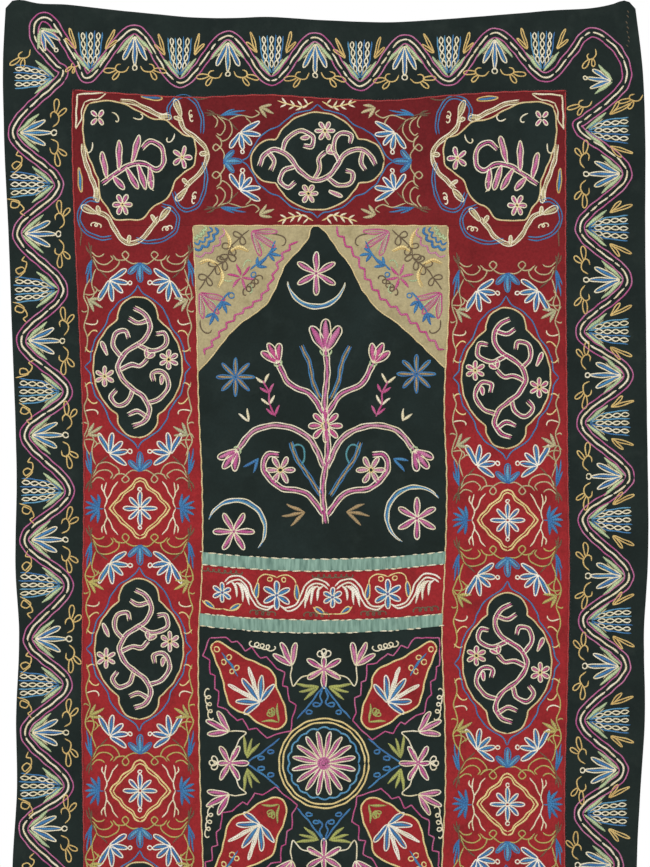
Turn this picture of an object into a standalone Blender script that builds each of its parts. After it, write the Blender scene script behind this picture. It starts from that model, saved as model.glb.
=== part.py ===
"""An embroidered wool wall hanging, in metres with +Z up.

The hanging is pieced edge to edge from felted wool: a dark border, a red band let in with dark
lobed grounds, a dark niche field between two pale spandrels, silk ribbons on a red strip, and a
dark panel let in with red leaves. It hangs in the XZ plane with its face towards -Y, and the
origin is the middle of its top edge.

Plan sizes are millimetres. Across runs to the right from the middle of the top edge, and drop
runs down from it. Each piece is a sheet between two copies of one uneven surface, so pieces
that meet edge to edge follow the same waves.
"""

import math

import bmesh
import bpy
import numpy as np
from mathutils import Vector
from mathutils.geometry import delaunay_2d_cdt

MM = 0.001

SEAM_GAP = 0.3
EDGE_STEP = 30.0
FINE_STEP = 12.0
INNER_STEP = 62.0
POINT_TOLERANCE = 1e-4

WOOL_THICKNESS = 2.0
BORDER_THICKNESS = 3.0
RIBBON_THICKNESS = 2.8


def table(columns, rows):
    """A short table as one array for each named column."""
    return dict(zip(columns.split(), np.array(rows, float).T))


# The seams and edges that run down, as places across at each drop.
DOWN_SEAMS = table(
    "drop outer_left band_left panel_left panel_right band_right outer_right",
    [
        (-30, -541, -424, -220, 218, 422, 540),
        (72, -547, -427, -220, 218, 422, 552),
        (194, -545, -429, -220, 218, 422, 557),
        (353, -538, -425, -220, 218, 422, 558),
        (464, -534, -420, -215, 220, 422, 558),
        (678, -526, -411, -210, 212, 424, 561),
        (784, -524, -409, -205, 216, 425, 562),
        (958, -525, -411, -205, 212, 428, 561),
        (1041, -520, -412, -210, 208, 427, 556),
        (1207, -525, -413, -210, 213, 423, 556),
        (1314, -523, -411, -208, 214, 420, 550),
        (1457, -531, -409, -203, 208, 420, 543),
        (1700, -526, -410, -206, 209, 420, 546),
        (2040, -528, -411, -208, 210, 421, 546),
        (2180, -530, -412, -208, 210, 421, 545),
    ],
)

# The top edge hangs from its two corners, so its middle is lower than its ends.
TOP_EDGE = table(
    "across drop",
    [
        (-548, -12),
        (-541, -20),
        (-535, -28),
        (-511, -33),
        (-494, -29),
        (-437, -26),
        (-366, -18),
        (-296, -11),
        (-220, -4),
        (-146, -3),
        (-103, -5),
        (0, 0),
        (136, 3),
        (186, 0),
        (292, -8),
        (385, -16),
        (506, -29),
        (521, -34),
        (535, -28),
        (541, -20),
        (550, -10),
    ],
)
BAND_TOP = table(
    "across drop",
    [
        (-430, 119),
        (-323, 127),
        (-230, 132),
        (-89, 128),
        (7, 134),
        (120, 137),
        (206, 129),
        (316, 122),
        (430, 120),
    ],
)
BOTTOM_EDGE = table(
    "across drop",
    [(-540, 2168), (-260, 2174), (0, 2172), (280, 2176), (560, 2170)],
)

# The seams that run across inside the band: the drop at their ends, and the sag between them.
PANEL_HALF_WIDTH = 212.0
LEVELS = {
    "panel_top": (354.0, 0.0),
    "ribbon_1_top": (914.0, 13.0),
    "ribbon_1_bottom": (935.0, 13.0),
    "ribbon_2_top": (1020.0, 12.0),
    "ribbon_2_bottom": (1041.0, 13.0),
    "ribbon_3_top": (1505.0, 8.0),
    "ribbon_3_bottom": (1526.0, 8.0),
    "ribbon_4_top": (1611.0, 8.0),
    "ribbon_4_bottom": (1632.0, 8.0),
    "panel_bottom": (1808.0, 0.0),
    "band_bottom": (2038.0, 0.0),
}

# The ogee arch between the spandrels and the niche field.
ARCH = table(
    "across drop",
    [
        (-212, 606),
        (-187, 578),
        (-169, 554),
        (-150, 532),
        (-131, 516),
        (-112, 504),
        (-93, 488),
        (-83, 471),
        (-74, 451),
        (-64, 425),
        (-52, 409),
        (-38, 396),
        (-22, 376),
        (-16, 354),
        (-4, 354),
        (8, 365),
        (14, 372),
        (28, 394),
        (50, 421),
        (71, 464),
        (96, 497),
        (131, 521),
        (160, 547),
        (206, 592),
        (216, 601),
    ],
)
ARCH_APEX_LEFT = -16.0
ARCH_APEX_RIGHT = -4.0

# The dark lobed grounds of the band: centre, and half the width and height.
GROUNDS = {
    "ground_top": (-6, 243, 114.5, 84),
    "ground_bottom": (0, 1923, 114.5, 84),
    "ground_left_upper": (-315, 597, 76.5, 121),
    "ground_left_middle": (-313, 1082, 76.5, 121),
    "ground_left_lower": (-312, 1569, 76.5, 121),
    "ground_right_upper": (318, 616, 76.5, 121),
    "ground_right_middle": (320, 1106, 76.5, 121),
    "ground_right_lower": (318, 1593, 76.5, 121),
}

# Where a ground's notches lie, as shares of its half length and half width, and the rise of its
# lobes, as shares of their chords: for grounds that stand upright and for broad ones.
UPRIGHT_SHAPE = {"notch_along": 0.68, "notch_across": 0.45, "end_rise": 0.23, "side_rise": 0.125}
BROAD_SHAPE = {"notch_along": 0.62, "notch_across": 0.44, "end_rise": 0.23, "side_rise": 0.15}
LOBE_STEPS = 4

# Half the outline of a corner shield, as shares of the corner's width and height. The other half
# swaps the two columns.
CORNER_WIDTH = 204.0
CORNER_HEIGHT = 234.0
CORNER_SHIELD = table(
    "across drop",
    [
        (0.14, 0.11),
        (0.22, 0.09),
        (0.35, 0.09),
        (0.46, 0.12),
        (0.57, 0.17),
        (0.68, 0.22),
        (0.79, 0.23),
        (0.88, 0.30),
        (0.95, 0.34),
        (1.02, 0.36),
        (1.04, 0.46),
        (1.02, 0.56),
        (0.93, 0.62),
        (0.86, 0.68),
        (0.83, 0.76),
    ],
)
CORNERS = {
    "ground_corner_top_left": (-427, 119, 1, 1),
    "ground_corner_top_right": (423, 120, -1, 1),
    "ground_corner_bottom_left": (-411, 2038, 1, -1),
    "ground_corner_bottom_right": (421, 2038, -1, -1),
}
CORNER_LIMIT = 0.96

# The red leaves that point out of the medallion panel's corners.
MEDALLION_ACROSS = 5.0
MEDALLION_DROP = 1278.0
LEAF_TIP_ACROSS = 190.0
LEAF_TIP_DROP = 207.0
LEAF_BASE_ACROSS = 71.0
LEAF_BASE_DROP = 63.0
LEAF_PROFILE = table(
    "from_tip half_width",
    [
        (0, 0),
        (5, 9),
        (22, 15),
        (55, 26),
        (78, 38),
        (98, 46),
        (114, 44),
        (130, 34),
        (152, 29),
        (172, 20),
        (183, 11),
        (187, 0),
    ],
)
LEAVES = {
    "leaf_top_left": (-1, -1),
    "leaf_top_right": (1, -1),
    "leaf_bottom_left": (-1, 1),
    "leaf_bottom_right": (1, 1),
}

# The cloth's slow waves, and the ripple of its two long edges.
WAVES = table(
    "across_length drop_length height phase",
    [
        (1500, 2600, 4.0, 0.6),
        (760, 980, 2.2, 2.1),
        (410, 560, 1.2, 4.0),
    ],
)
RIPPLE_START = 430.0
RIPPLE_WIDTH = 120.0
RIPPLE_LENGTH = 345.0
RIPPLE_HEIGHT = 3.5

COLOURS = {
    "dark wool": (0.014, 0.022, 0.020, 1.0),
    "red wool": (0.340, 0.018, 0.024, 1.0),
    "beige wool": (0.480, 0.390, 0.230, 1.0),
    "green silk": (0.210, 0.360, 0.300, 1.0),
}
WOOL_ROUGHNESS = 0.9
SILK_ROUGHNESS = 0.5


def smooth(curve, column, given, wanted):
    """A smooth curve through a table's rows: cubics whose slopes come from the next rows."""
    known, values = curve[given], curve[column]
    slopes = np.gradient(values, known)
    place = np.clip(np.asarray(wanted, float), known[0], known[-1])
    row = np.clip(np.searchsorted(known, place, side="right") - 1, 0, len(known) - 2)
    length = known[row + 1] - known[row]
    share = (place - known[row]) / length
    return (
        (1 + 2 * share) * (1 - share) ** 2 * values[row]
        + share * (1 - share) ** 2 * length * slopes[row]
        + share**2 * (3 - 2 * share) * values[row + 1]
        - share**2 * (1 - share) * length * slopes[row + 1]
    )


def down_seam(name):
    """The function that gives a long seam's place across from its drop."""
    return lambda drop: smooth(DOWN_SEAMS, name, "drop", drop)


def upright(across):
    """The function of a side that runs straight down at one place across."""
    return lambda drop: np.full_like(np.asarray(drop, float), across)


def edge(curve):
    """The function that gives the drop of an edge from its place across."""
    return lambda across: smooth(curve, "drop", "across", across)


def level(name):
    """The function that gives the drop of a sagging seam: a parabola between its ends."""
    ends, sag = LEVELS[name]
    return lambda across: ends + sag * (1 - (np.asarray(across) / PANEL_HALF_WIDTH) ** 2)


def arch(across):
    """The drop of the ogee arch: straight runs between close rows keep its apex sharp."""
    return np.interp(across, ARCH["across"], ARCH["drop"])


def depth(across, drop):
    """Where the cloth's middle lies along Y: slow waves, and a ripple along the long edges."""
    middle = np.zeros_like(across)
    for row in zip(*WAVES.values()):
        across_length, drop_length, height, phase = row
        middle += height * np.sin(math.tau * across / across_length + phase) * np.cos(
            math.tau * drop / drop_length + phase
        )
    edge_share = np.clip((np.abs(across) - RIPPLE_START) / RIPPLE_WIDTH, 0, 1) ** 2
    side_phase = np.where(across < 0, 0.0, 1.7)
    return middle + edge_share * RIPPLE_HEIGHT * np.sin(math.tau * drop / RIPPLE_LENGTH + side_phase)


def steps_between(start, end, step):
    """Whole multiples of a step that lie between two values, well clear of both."""
    low, high = sorted((start, end))
    values = np.arange(math.ceil(low / step), math.floor(high / step) + 1) * step
    values = values[(values > low + 0.35 * step) & (values < high - 0.35 * step)]
    return values if start < end else values[::-1]


def meeting(side, line):
    """The point where a seam that runs down meets one that runs across."""
    drop = 0.0
    for _ in range(30):
        across = float(side(drop))
        drop = float(line(across))
    return across, drop


def four_sided(left, right, top, bottom, step=EDGE_STEP):
    """The loop of a panel between two seams that run down and two that run across."""
    top_left, top_right = meeting(left, top), meeting(right, top)
    bottom_left, bottom_right = meeting(left, bottom), meeting(right, bottom)
    along_top = steps_between(top_left[0], top_right[0], step)
    along_bottom = steps_between(bottom_right[0], bottom_left[0], step)
    along_right = steps_between(top_right[1], bottom_right[1], EDGE_STEP)
    along_left = steps_between(bottom_left[1], top_left[1], EDGE_STEP)
    loop = np.vstack(
        [
            [top_left],
            np.column_stack([along_top, top(along_top)]),
            [top_right],
            np.column_stack([right(along_right), along_right]),
            [bottom_right],
            np.column_stack([along_bottom, bottom(along_bottom)]),
            [bottom_left],
            np.column_stack([left(along_left), along_left]),
        ]
    )
    apart = np.linalg.norm(loop - np.roll(loop, 1, axis=0), axis=1) > 1.0
    return loop[apart]


def arc(start, end, rise, steps):
    """Points of a round arc from start up to end, which bulges by rise times its chord."""
    start, end = np.array(start, float), np.array(end, float)
    chord = end - start
    share = np.arange(steps) / steps
    half_angle = 2 * math.atan(2 * rise)
    angle = half_angle * (2 * share - 1)
    along = 0.5 + np.sin(angle) / (2 * math.sin(half_angle))
    bulge = (np.cos(angle) - math.cos(half_angle)) / (2 * math.sin(half_angle))
    outwards = np.array([-chord[1], chord[0]])
    return start + along[:, None] * chord + bulge[:, None] * outwards


def lobed(centre_across, centre_drop, half_width, half_height):
    """A ground's outline: two end lobes and two broad side lobes that meet in four notches."""
    long_half, short_half = max(half_width, half_height), min(half_width, half_height)
    shape = BROAD_SHAPE if half_width > half_height else UPRIGHT_SHAPE
    end = (0.0, long_half)
    notch = (shape["notch_across"] * short_half, shape["notch_along"] * long_half)
    side = (short_half, 0.0)
    quarter = np.vstack(
        [
            arc(end, notch, shape["end_rise"], LOBE_STEPS),
            arc(notch, side, shape["side_rise"], LOBE_STEPS),
        ]
    )
    back = quarter[:0:-1]
    whole = np.vstack(
        [
            quarter,
            [(short_half, 0.0)],
            back * (1, -1),
            [(0.0, -long_half)],
            quarter[1:] * (-1, -1),
            [(-short_half, 0.0)],
            back * (-1, 1),
        ]
    )
    if half_width > half_height:
        whole = whole[:, ::-1]
    return whole + (centre_across, centre_drop)


def corner_shield(corner_across, corner_drop, across_way, drop_way):
    """The shield in a corner of the band, even about the corner's diagonal."""
    half = np.column_stack([CORNER_SHIELD["across"], CORNER_SHIELD["drop"]])
    whole = np.vstack([half, half[::-1, ::-1]])
    whole[:, 1] = np.minimum(whole[:, 1], CORNER_LIMIT)
    return whole * (across_way * CORNER_WIDTH, drop_way * CORNER_HEIGHT) + (corner_across, corner_drop)


def leaf(across_way, drop_way):
    """A leaf's outline: its half widths laid to both sides of the line from tip to base."""
    centre = np.array([MEDALLION_ACROSS, MEDALLION_DROP])
    way = np.array([across_way, drop_way])
    tip = centre + way * (LEAF_TIP_ACROSS, LEAF_TIP_DROP)
    base = centre + way * (LEAF_BASE_ACROSS, LEAF_BASE_DROP)
    axis = (base - tip) / np.linalg.norm(base - tip)
    sideways = np.array([-axis[1], axis[0]])
    middle = tip + LEAF_PROFILE["from_tip"][:, None] * axis
    offset = LEAF_PROFILE["half_width"][:, None] * sideways
    return np.vstack([middle + offset, (middle - offset)[-2:0:-1]])


def area(loop):
    """A loop's signed area, positive where it turns from across towards drop."""
    following = np.roll(loop, -1, axis=0)
    return 0.5 * np.sum(loop[:, 0] * following[:, 1] - following[:, 0] * loop[:, 1])


def inset(loop, distance):
    """The loop moved inwards by a distance: each corner slides along its mitre."""
    turn = math.copysign(1.0, area(loop))
    before = loop - np.roll(loop, 1, axis=0)
    after = np.roll(before, -1, axis=0)
    before = before / np.linalg.norm(before, axis=1)[:, None]
    after = after / np.linalg.norm(after, axis=1)[:, None]
    inward_before = turn * np.column_stack([-before[:, 1], before[:, 0]])
    inward_after = turn * np.column_stack([-after[:, 1], after[:, 0]])
    mitre = inward_before + inward_after
    mitre /= 1 + np.sum(inward_before * inward_after, axis=1)[:, None]
    return loop + distance * mitre


def inside(points, loops):
    """Whether each point is inside the first loop and outside the others, by crossings."""
    crossings = np.zeros(len(points), int)
    for loop in loops:
        following = np.roll(loop, -1, axis=0)
        px, py = points[:, :1], points[:, 1:]
        straddles = (loop[:, 1] > py) != (following[:, 1] > py)
        rise = np.where(following[:, 1] == loop[:, 1], 1.0, following[:, 1] - loop[:, 1])
        cut = loop[:, 0] + (py - loop[:, 1]) * (following[:, 0] - loop[:, 0]) / rise
        crossings += np.sum(straddles & (px < cut), axis=1)
    return crossings % 2 == 1


def clearance(points, loops):
    """Each point's distance to the nearest side of the loops."""
    nearest = np.full(len(points), np.inf)
    for loop in loops:
        side = np.roll(loop, -1, axis=0) - loop
        away = points[:, None] - loop
        share = np.clip(np.sum(away * side, axis=2) / np.sum(side**2, axis=1), 0, 1)
        gap = np.linalg.norm(away - share[:, :, None] * side, axis=2)
        nearest = np.minimum(nearest, gap.min(axis=1))
    return nearest


def inner_points(loops):
    """An even lattice of points inside a panel, clear of its edges."""
    low, high = loops[0].min(axis=0), loops[0].max(axis=0)
    columns = np.arange(math.ceil(low[0] / INNER_STEP), math.floor(high[0] / INNER_STEP) + 1)
    rows = np.arange(math.ceil(low[1] / INNER_STEP), math.floor(high[1] / INNER_STEP) + 1)
    grid = np.stack(np.meshgrid(columns, rows), axis=-1).reshape(-1, 2) * INNER_STEP
    if len(grid) == 0:
        return grid
    return grid[inside(grid, loops) & (clearance(grid, loops) > 0.4 * INNER_STEP)]


def filled(loops):
    """Points and triangles that fill the first loop around the others."""
    points = np.vstack(loops + [inner_points(loops)])
    sides = []
    first = 0
    for loop in loops:
        count = len(loop)
        sides += [(first + k, first + (k + 1) % count) for k in range(count)]
        first += count
    found = delaunay_2d_cdt([Vector(p) for p in points], sides, [], 0, POINT_TOLERANCE, False)
    points, triangles = np.array([tuple(p) for p in found[0]]), np.array(found[2])
    kept = inside(points[triangles].mean(axis=1), loops)
    return points, triangles[kept]


def material(name):
    """A plain matt wool or a softly shining silk in its own colour."""
    made = bpy.data.materials.get(name) or bpy.data.materials.new(name)
    made.use_nodes = True
    shader = made.node_tree.nodes["Principled BSDF"]
    shader.inputs["Base Color"].default_value = COLOURS[name]
    shader.inputs["Roughness"].default_value = SILK_ROUGHNESS if "silk" in name else WOOL_ROUGHNESS
    shader.inputs["Metallic"].default_value = 0.0
    return made


def sheet(name, cloth, loop, holes=(), thickness=WOOL_THICKNESS, forward=0.0):
    """One cut piece: its plan filled on the uneven surface, then extruded to its thickness."""
    loops = [inset(loop, SEAM_GAP / 2)] + [inset(hole, -SEAM_GAP / 2) for hole in holes]
    points, triangles = filled(loops)
    front = depth(points[:, 0], points[:, 1]) - thickness / 2 - forward
    shape = bmesh.new()
    corners = [
        shape.verts.new((across * MM, y * MM, -drop * MM))
        for (across, drop), y in zip(points, front)
    ]
    faces = [shape.faces.new([corners[k] for k in triangle]) for triangle in triangles]
    back = bmesh.ops.extrude_face_region(shape, geom=faces)["geom"]
    moved = [item for item in back if isinstance(item, bmesh.types.BMVert)]
    bmesh.ops.translate(shape, verts=moved, vec=(0, thickness * MM, 0))
    loose = [corner for corner in shape.verts if not corner.link_faces]
    bmesh.ops.delete(shape, geom=loose, context="VERTS")
    bmesh.ops.recalc_face_normals(shape, faces=shape.faces)
    mesh = bpy.data.meshes.new(name)
    shape.to_mesh(mesh)
    shape.free()
    mesh.materials.append(material(cloth))
    piece = bpy.data.objects.new(name, mesh)
    bpy.context.collection.objects.link(piece)
    return piece


def border_strips():
    """The dark border: two long side strips, and a top and a bottom strip between them."""
    top, bottom = edge(TOP_EDGE), edge(BOTTOM_EDGE)
    left, right = down_seam("band_left"), down_seam("band_right")
    plans = {
        "border_left": (down_seam("outer_left"), left, top, bottom),
        "border_right": (right, down_seam("outer_right"), top, bottom),
        "border_top": (left, right, top, edge(BAND_TOP)),
        "border_bottom": (left, right, level("band_bottom"), bottom),
    }
    for name, sides in plans.items():
        step = EDGE_STEP if name == "border_bottom" else FINE_STEP
        sheet(name, "dark wool", four_sided(*sides, step=step), thickness=BORDER_THICKNESS)


def band_strips(outlines):
    """The red band: a top and a bottom strip of full width, and side strips between them."""
    left, right = down_seam("band_left"), down_seam("band_right")
    panel_left, panel_right = down_seam("panel_left"), down_seam("panel_right")
    top, bottom = level("panel_top"), level("panel_bottom")
    plans = {
        "band_top": (left, right, edge(BAND_TOP), top, "top"),
        "band_bottom": (left, right, bottom, level("band_bottom"), "bottom"),
        "band_left": (left, panel_left, top, bottom, "ground_left"),
        "band_right": (panel_right, right, top, bottom, "ground_right"),
    }
    for name, (*sides, key) in plans.items():
        holes = [outline for ground, outline in outlines.items() if key in ground]
        sheet(name, "red wool", four_sided(*sides), holes)


def ground_outlines():
    """The outlines of all the dark grounds, by name."""
    outlines = {name: lobed(*sizes) for name, sizes in GROUNDS.items()}
    outlines.update({name: corner_shield(*place) for name, place in CORNERS.items()})
    return outlines


def niche():
    """The dark field under the ogee arch, and the pale spandrels at its two sides."""
    left, right = down_seam("panel_left"), down_seam("panel_right")
    top, foot = level("panel_top"), level("ribbon_1_top")
    sheet("niche_field", "dark wool", four_sided(left, right, arch, foot, step=FINE_STEP))
    plans = {
        "spandrel_left": (left, upright(ARCH_APEX_LEFT), top, arch),
        "spandrel_right": (upright(ARCH_APEX_RIGHT), right, top, arch),
    }
    for name, sides in plans.items():
        sheet(name, "beige wool", four_sided(*sides, step=FINE_STEP))


def inner_rows():
    """The ribbons, red strips and dark panels below the niche, from its foot to the band."""
    left, right = down_seam("panel_left"), down_seam("panel_right")
    rows = [
        ("ribbon_niche_upper", "green silk", "ribbon_1_top", "ribbon_1_bottom"),
        ("strip_niche", "red wool", "ribbon_1_bottom", "ribbon_2_top"),
        ("ribbon_niche_lower", "green silk", "ribbon_2_top", "ribbon_2_bottom"),
        ("medallion_panel", "dark wool", "ribbon_2_bottom", "ribbon_3_top"),
        ("ribbon_foot_upper", "green silk", "ribbon_3_top", "ribbon_3_bottom"),
        ("strip_foot", "red wool", "ribbon_3_bottom", "ribbon_4_top"),
        ("ribbon_foot_lower", "green silk", "ribbon_4_top", "ribbon_4_bottom"),
        ("foot_panel", "dark wool", "ribbon_4_bottom", "panel_bottom"),
    ]
    leaves = {name: leaf(*ways) for name, ways in LEAVES.items()}
    for name, cloth, top, bottom in rows:
        loop = four_sided(left, right, level(top), level(bottom))
        holes = list(leaves.values()) if name == "medallion_panel" else ()
        thickness = RIBBON_THICKNESS if cloth == "green silk" else WOOL_THICKNESS
        sheet(name, cloth, loop, holes, thickness, forward=(thickness - WOOL_THICKNESS) / 2)
    for name, outline in leaves.items():
        sheet(name, "red wool", outline)


def main():
    for thing in list(bpy.data.objects):
        bpy.data.objects.remove(thing, do_unlink=True)
    outlines = ground_outlines()
    border_strips()
    band_strips(outlines)
    for name, outline in outlines.items():
        sheet(name, "dark wool", outline)
    niche()
    inner_rows()


main()
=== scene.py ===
"""The cloth and needlework of an embroidered wool wall hanging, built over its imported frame.

The hanging hangs in the XZ plane with its face towards -Y, and the origin is the middle of its top
edge. Plan sizes are millimetres: across runs to the right from the middle of the top edge, and
drop runs down from it. Each cloth piece is a grid between its seams on one uneven surface, and
each stitched line is a four-sided thread carried along a path on that surface.
"""

import collections
import math

import bpy
import numpy as np
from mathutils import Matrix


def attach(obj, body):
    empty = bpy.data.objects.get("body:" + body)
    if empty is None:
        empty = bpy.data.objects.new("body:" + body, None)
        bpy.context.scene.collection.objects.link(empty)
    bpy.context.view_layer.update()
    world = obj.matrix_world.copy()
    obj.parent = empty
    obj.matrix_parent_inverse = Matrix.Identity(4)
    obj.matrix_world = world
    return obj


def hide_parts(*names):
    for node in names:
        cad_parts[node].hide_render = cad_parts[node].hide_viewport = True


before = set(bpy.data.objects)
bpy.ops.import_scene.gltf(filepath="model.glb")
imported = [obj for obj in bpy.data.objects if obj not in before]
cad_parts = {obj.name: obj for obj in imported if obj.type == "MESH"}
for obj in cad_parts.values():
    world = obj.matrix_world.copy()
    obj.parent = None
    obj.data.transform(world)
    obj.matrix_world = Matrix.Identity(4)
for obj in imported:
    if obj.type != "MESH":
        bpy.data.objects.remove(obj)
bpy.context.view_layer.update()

MM = 0.001
TAU = math.tau
rng = np.random.default_rng(11)

# The distance between two points of a cloth's grid, and of an inlay's outline.
CELL = 10.0
INLAY_STEP = 5.0

# Sheets reach this far past their seams, and their points settle between the seams in rounds.
SEAM_LAP = 0.15
SETTLING_ROUNDS = 25
LEAST_HEIGHT = 1.0

# Thicknesses, and how far ribbons and inlays stand forward.
WOOL_THICKNESS = 2.0
BORDER_THICKNESS = 3.0
RIBBON_THICKNESS = 2.8
RIBBON_FORWARD = 0.4
INLAY_RISE = 0.35

# A sheet's edge is rounded over this distance, and falls back by this much.
EDGE_ROUND = 1.2
EDGE_DROP = 0.45


def table(columns, rows):
    """A short table as one array for each named column."""
    return dict(zip(columns.split(), np.array(rows, float).T))


# The seams and edges that run down, as places across at each drop.
DOWN_SEAMS = table(
    "drop outer_left band_left panel_left panel_right band_right outer_right",
    [
        (-30, -541, -424, -220, 218, 422, 540),
        (72, -547, -427, -220, 218, 422, 552),
        (194, -545, -429, -220, 218, 422, 557),
        (353, -538, -425, -220, 218, 422, 558),
        (464, -534, -420, -215, 220, 422, 558),
        (678, -526, -411, -210, 212, 424, 561),
        (784, -524, -409, -205, 216, 425, 562),
        (958, -525, -411, -205, 212, 428, 561),
        (1041, -520, -412, -210, 208, 427, 556),
        (1207, -525, -413, -210, 213, 423, 556),
        (1314, -523, -411, -208, 214, 420, 550),
        (1457, -531, -409, -203, 208, 420, 543),
        (1700, -526, -410, -206, 209, 420, 546),
        (2040, -528, -411, -208, 210, 421, 546),
        (2180, -530, -412, -208, 210, 421, 545),
    ],
)

# The edges that run across, as drops at each place across.
TOP_EDGE = table(
    "across drop",
    [
        (-548, -12),
        (-541, -20),
        (-535, -28),
        (-511, -33),
        (-494, -29),
        (-437, -26),
        (-366, -18),
        (-296, -11),
        (-220, -4),
        (-146, -3),
        (-103, -5),
        (0, 0),
        (136, 3),
        (186, 0),
        (292, -8),
        (385, -16),
        (506, -29),
        (521, -34),
        (535, -28),
        (541, -20),
        (550, -10),
    ],
)
BAND_TOP = table(
    "across drop",
    [
        (-430, 119),
        (-323, 127),
        (-230, 132),
        (-89, 128),
        (7, 134),
        (120, 137),
        (206, 129),
        (316, 122),
        (430, 120),
    ],
)
BOTTOM_EDGE = table(
    "across drop",
    [(-540, 2168), (-260, 2174), (0, 2172), (280, 2176), (560, 2170)],
)

# The seams that run across inside the band: the drop at their ends, and the sag between them.
PANEL_HALF_WIDTH = 212.0
LEVELS = {
    "panel_top": (354.0, 0.0),
    "ribbon_1_top": (914.0, 13.0),
    "ribbon_1_bottom": (935.0, 13.0),
    "ribbon_2_top": (1020.0, 12.0),
    "ribbon_2_bottom": (1041.0, 13.0),
    "ribbon_3_top": (1505.0, 8.0),
    "ribbon_3_bottom": (1526.0, 8.0),
    "ribbon_4_top": (1611.0, 8.0),
    "ribbon_4_bottom": (1632.0, 8.0),
    "panel_bottom": (1808.0, 0.0),
    "band_bottom": (2038.0, 0.0),
}

# The sheets between those seams: a strip or panel from one to the next, and a ribbon's own pair.
STRIPS = {
    "strip_niche": ("ribbon_1_bottom", "ribbon_2_top"),
    "strip_foot": ("ribbon_3_bottom", "ribbon_4_top"),
}
RIBBONS = {
    "ribbon_niche_upper": "ribbon_1",
    "ribbon_niche_lower": "ribbon_2",
    "ribbon_foot_upper": "ribbon_3",
    "ribbon_foot_lower": "ribbon_4",
}
PANELS = {
    "medallion_panel": ("ribbon_2_bottom", "ribbon_3_top"),
    "foot_panel": ("ribbon_4_bottom", "panel_bottom"),
}

# The ogee arch between the spandrels and the niche field.
ARCH = table(
    "across drop",
    [
        (-212, 606),
        (-187, 578),
        (-169, 554),
        (-150, 532),
        (-131, 516),
        (-112, 504),
        (-93, 488),
        (-83, 471),
        (-74, 451),
        (-64, 425),
        (-52, 409),
        (-38, 396),
        (-22, 376),
        (-16, 354),
        (-4, 354),
        (8, 365),
        (14, 372),
        (28, 394),
        (50, 421),
        (71, 464),
        (96, 497),
        (131, 521),
        (160, 547),
        (206, 592),
        (216, 601),
    ],
)
ARCH_APEX_LEFT = -16.0
ARCH_APEX_RIGHT = -4.0

# The dark lobed grounds of the band: centre, and half the width and height.
GROUNDS = {
    "ground_top": (-6, 243, 114.5, 84),
    "ground_bottom": (0, 1923, 114.5, 84),
    "ground_left_upper": (-315, 597, 76.5, 121),
    "ground_left_middle": (-313, 1082, 76.5, 121),
    "ground_left_lower": (-312, 1569, 76.5, 121),
    "ground_right_upper": (318, 616, 76.5, 121),
    "ground_right_middle": (320, 1106, 76.5, 121),
    "ground_right_lower": (318, 1593, 76.5, 121),
}

# Where a ground's notches lie, as shares of its half length and half width, and the rise of its
# lobes, as shares of their chords: for grounds that stand upright and for broad ones.
UPRIGHT_SHAPE = {"notch_along": 0.68, "notch_across": 0.45, "end_rise": 0.23, "side_rise": 0.125}
BROAD_SHAPE = {"notch_along": 0.62, "notch_across": 0.44, "end_rise": 0.23, "side_rise": 0.15}
LOBE_STEPS = 9

# Half the outline of a corner shield, as shares of the corner's width and height. The other half
# swaps the two columns.
CORNER_WIDTH = 204.0
CORNER_HEIGHT = 234.0
CORNER_SHIELD = table(
    "across drop",
    [
        (0.14, 0.11),
        (0.22, 0.09),
        (0.35, 0.09),
        (0.46, 0.12),
        (0.57, 0.17),
        (0.68, 0.22),
        (0.79, 0.23),
        (0.88, 0.30),
        (0.95, 0.34),
        (1.02, 0.36),
        (1.04, 0.46),
        (1.02, 0.56),
        (0.93, 0.62),
        (0.86, 0.68),
        (0.83, 0.76),
    ],
)
CORNERS = {
    "ground_corner_top_left": (-427, 119, 1, 1),
    "ground_corner_top_right": (423, 120, -1, 1),
    "ground_corner_bottom_left": (-411, 2038, 1, -1),
    "ground_corner_bottom_right": (421, 2038, -1, -1),
}
CORNER_LIMIT = 0.96

# The red leaves that point out of the medallion panel's corners.
MEDALLION_ACROSS = 5.0
MEDALLION_DROP = 1278.0
LEAF_TIP_ACROSS = 190.0
LEAF_TIP_DROP = 207.0
LEAF_BASE_ACROSS = 71.0
LEAF_BASE_DROP = 63.0
LEAF_PROFILE = table(
    "from_tip half_width",
    [
        (0, 0),
        (5, 9),
        (22, 15),
        (55, 26),
        (78, 38),
        (98, 46),
        (114, 44),
        (130, 34),
        (152, 29),
        (172, 20),
        (183, 11),
        (187, 0),
    ],
)
LEAVES = {
    "leaf_top_left": (-1, -1),
    "leaf_top_right": (1, -1),
    "leaf_bottom_left": (-1, 1),
    "leaf_bottom_right": (1, 1),
}

# The cloth's slow waves, and the ripple of its two long edges.
WAVES = table(
    "across_length drop_length height phase",
    [
        (1500, 2600, 4.0, 0.6),
        (760, 980, 2.2, 2.1),
        (410, 560, 1.2, 4.0),
    ],
)
RIPPLE_START = 430.0
RIPPLE_WIDTH = 120.0
RIPPLE_LENGTH = 345.0
RIPPLE_HEIGHT = 3.5
RIPPLE_PHASE_RIGHT = 1.7

# Small puckers that the stitching draws into the cloth, and old folds across the right border.
PUCKERS = table(
    "across_length drop_length height phase",
    [
        (97, 71, 0.45, 0.3),
        (58, 113, 0.35, 1.9),
        (41, 47, 0.25, 3.1),
    ],
)
FOLDS = table("drop height width", [(45, 2.2, 5), (740, 1.6, 6), (796, 2.0, 5), (1084, 1.8, 6)])
FOLD_START = 455.0
FOLD_RUN = 40.0


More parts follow.
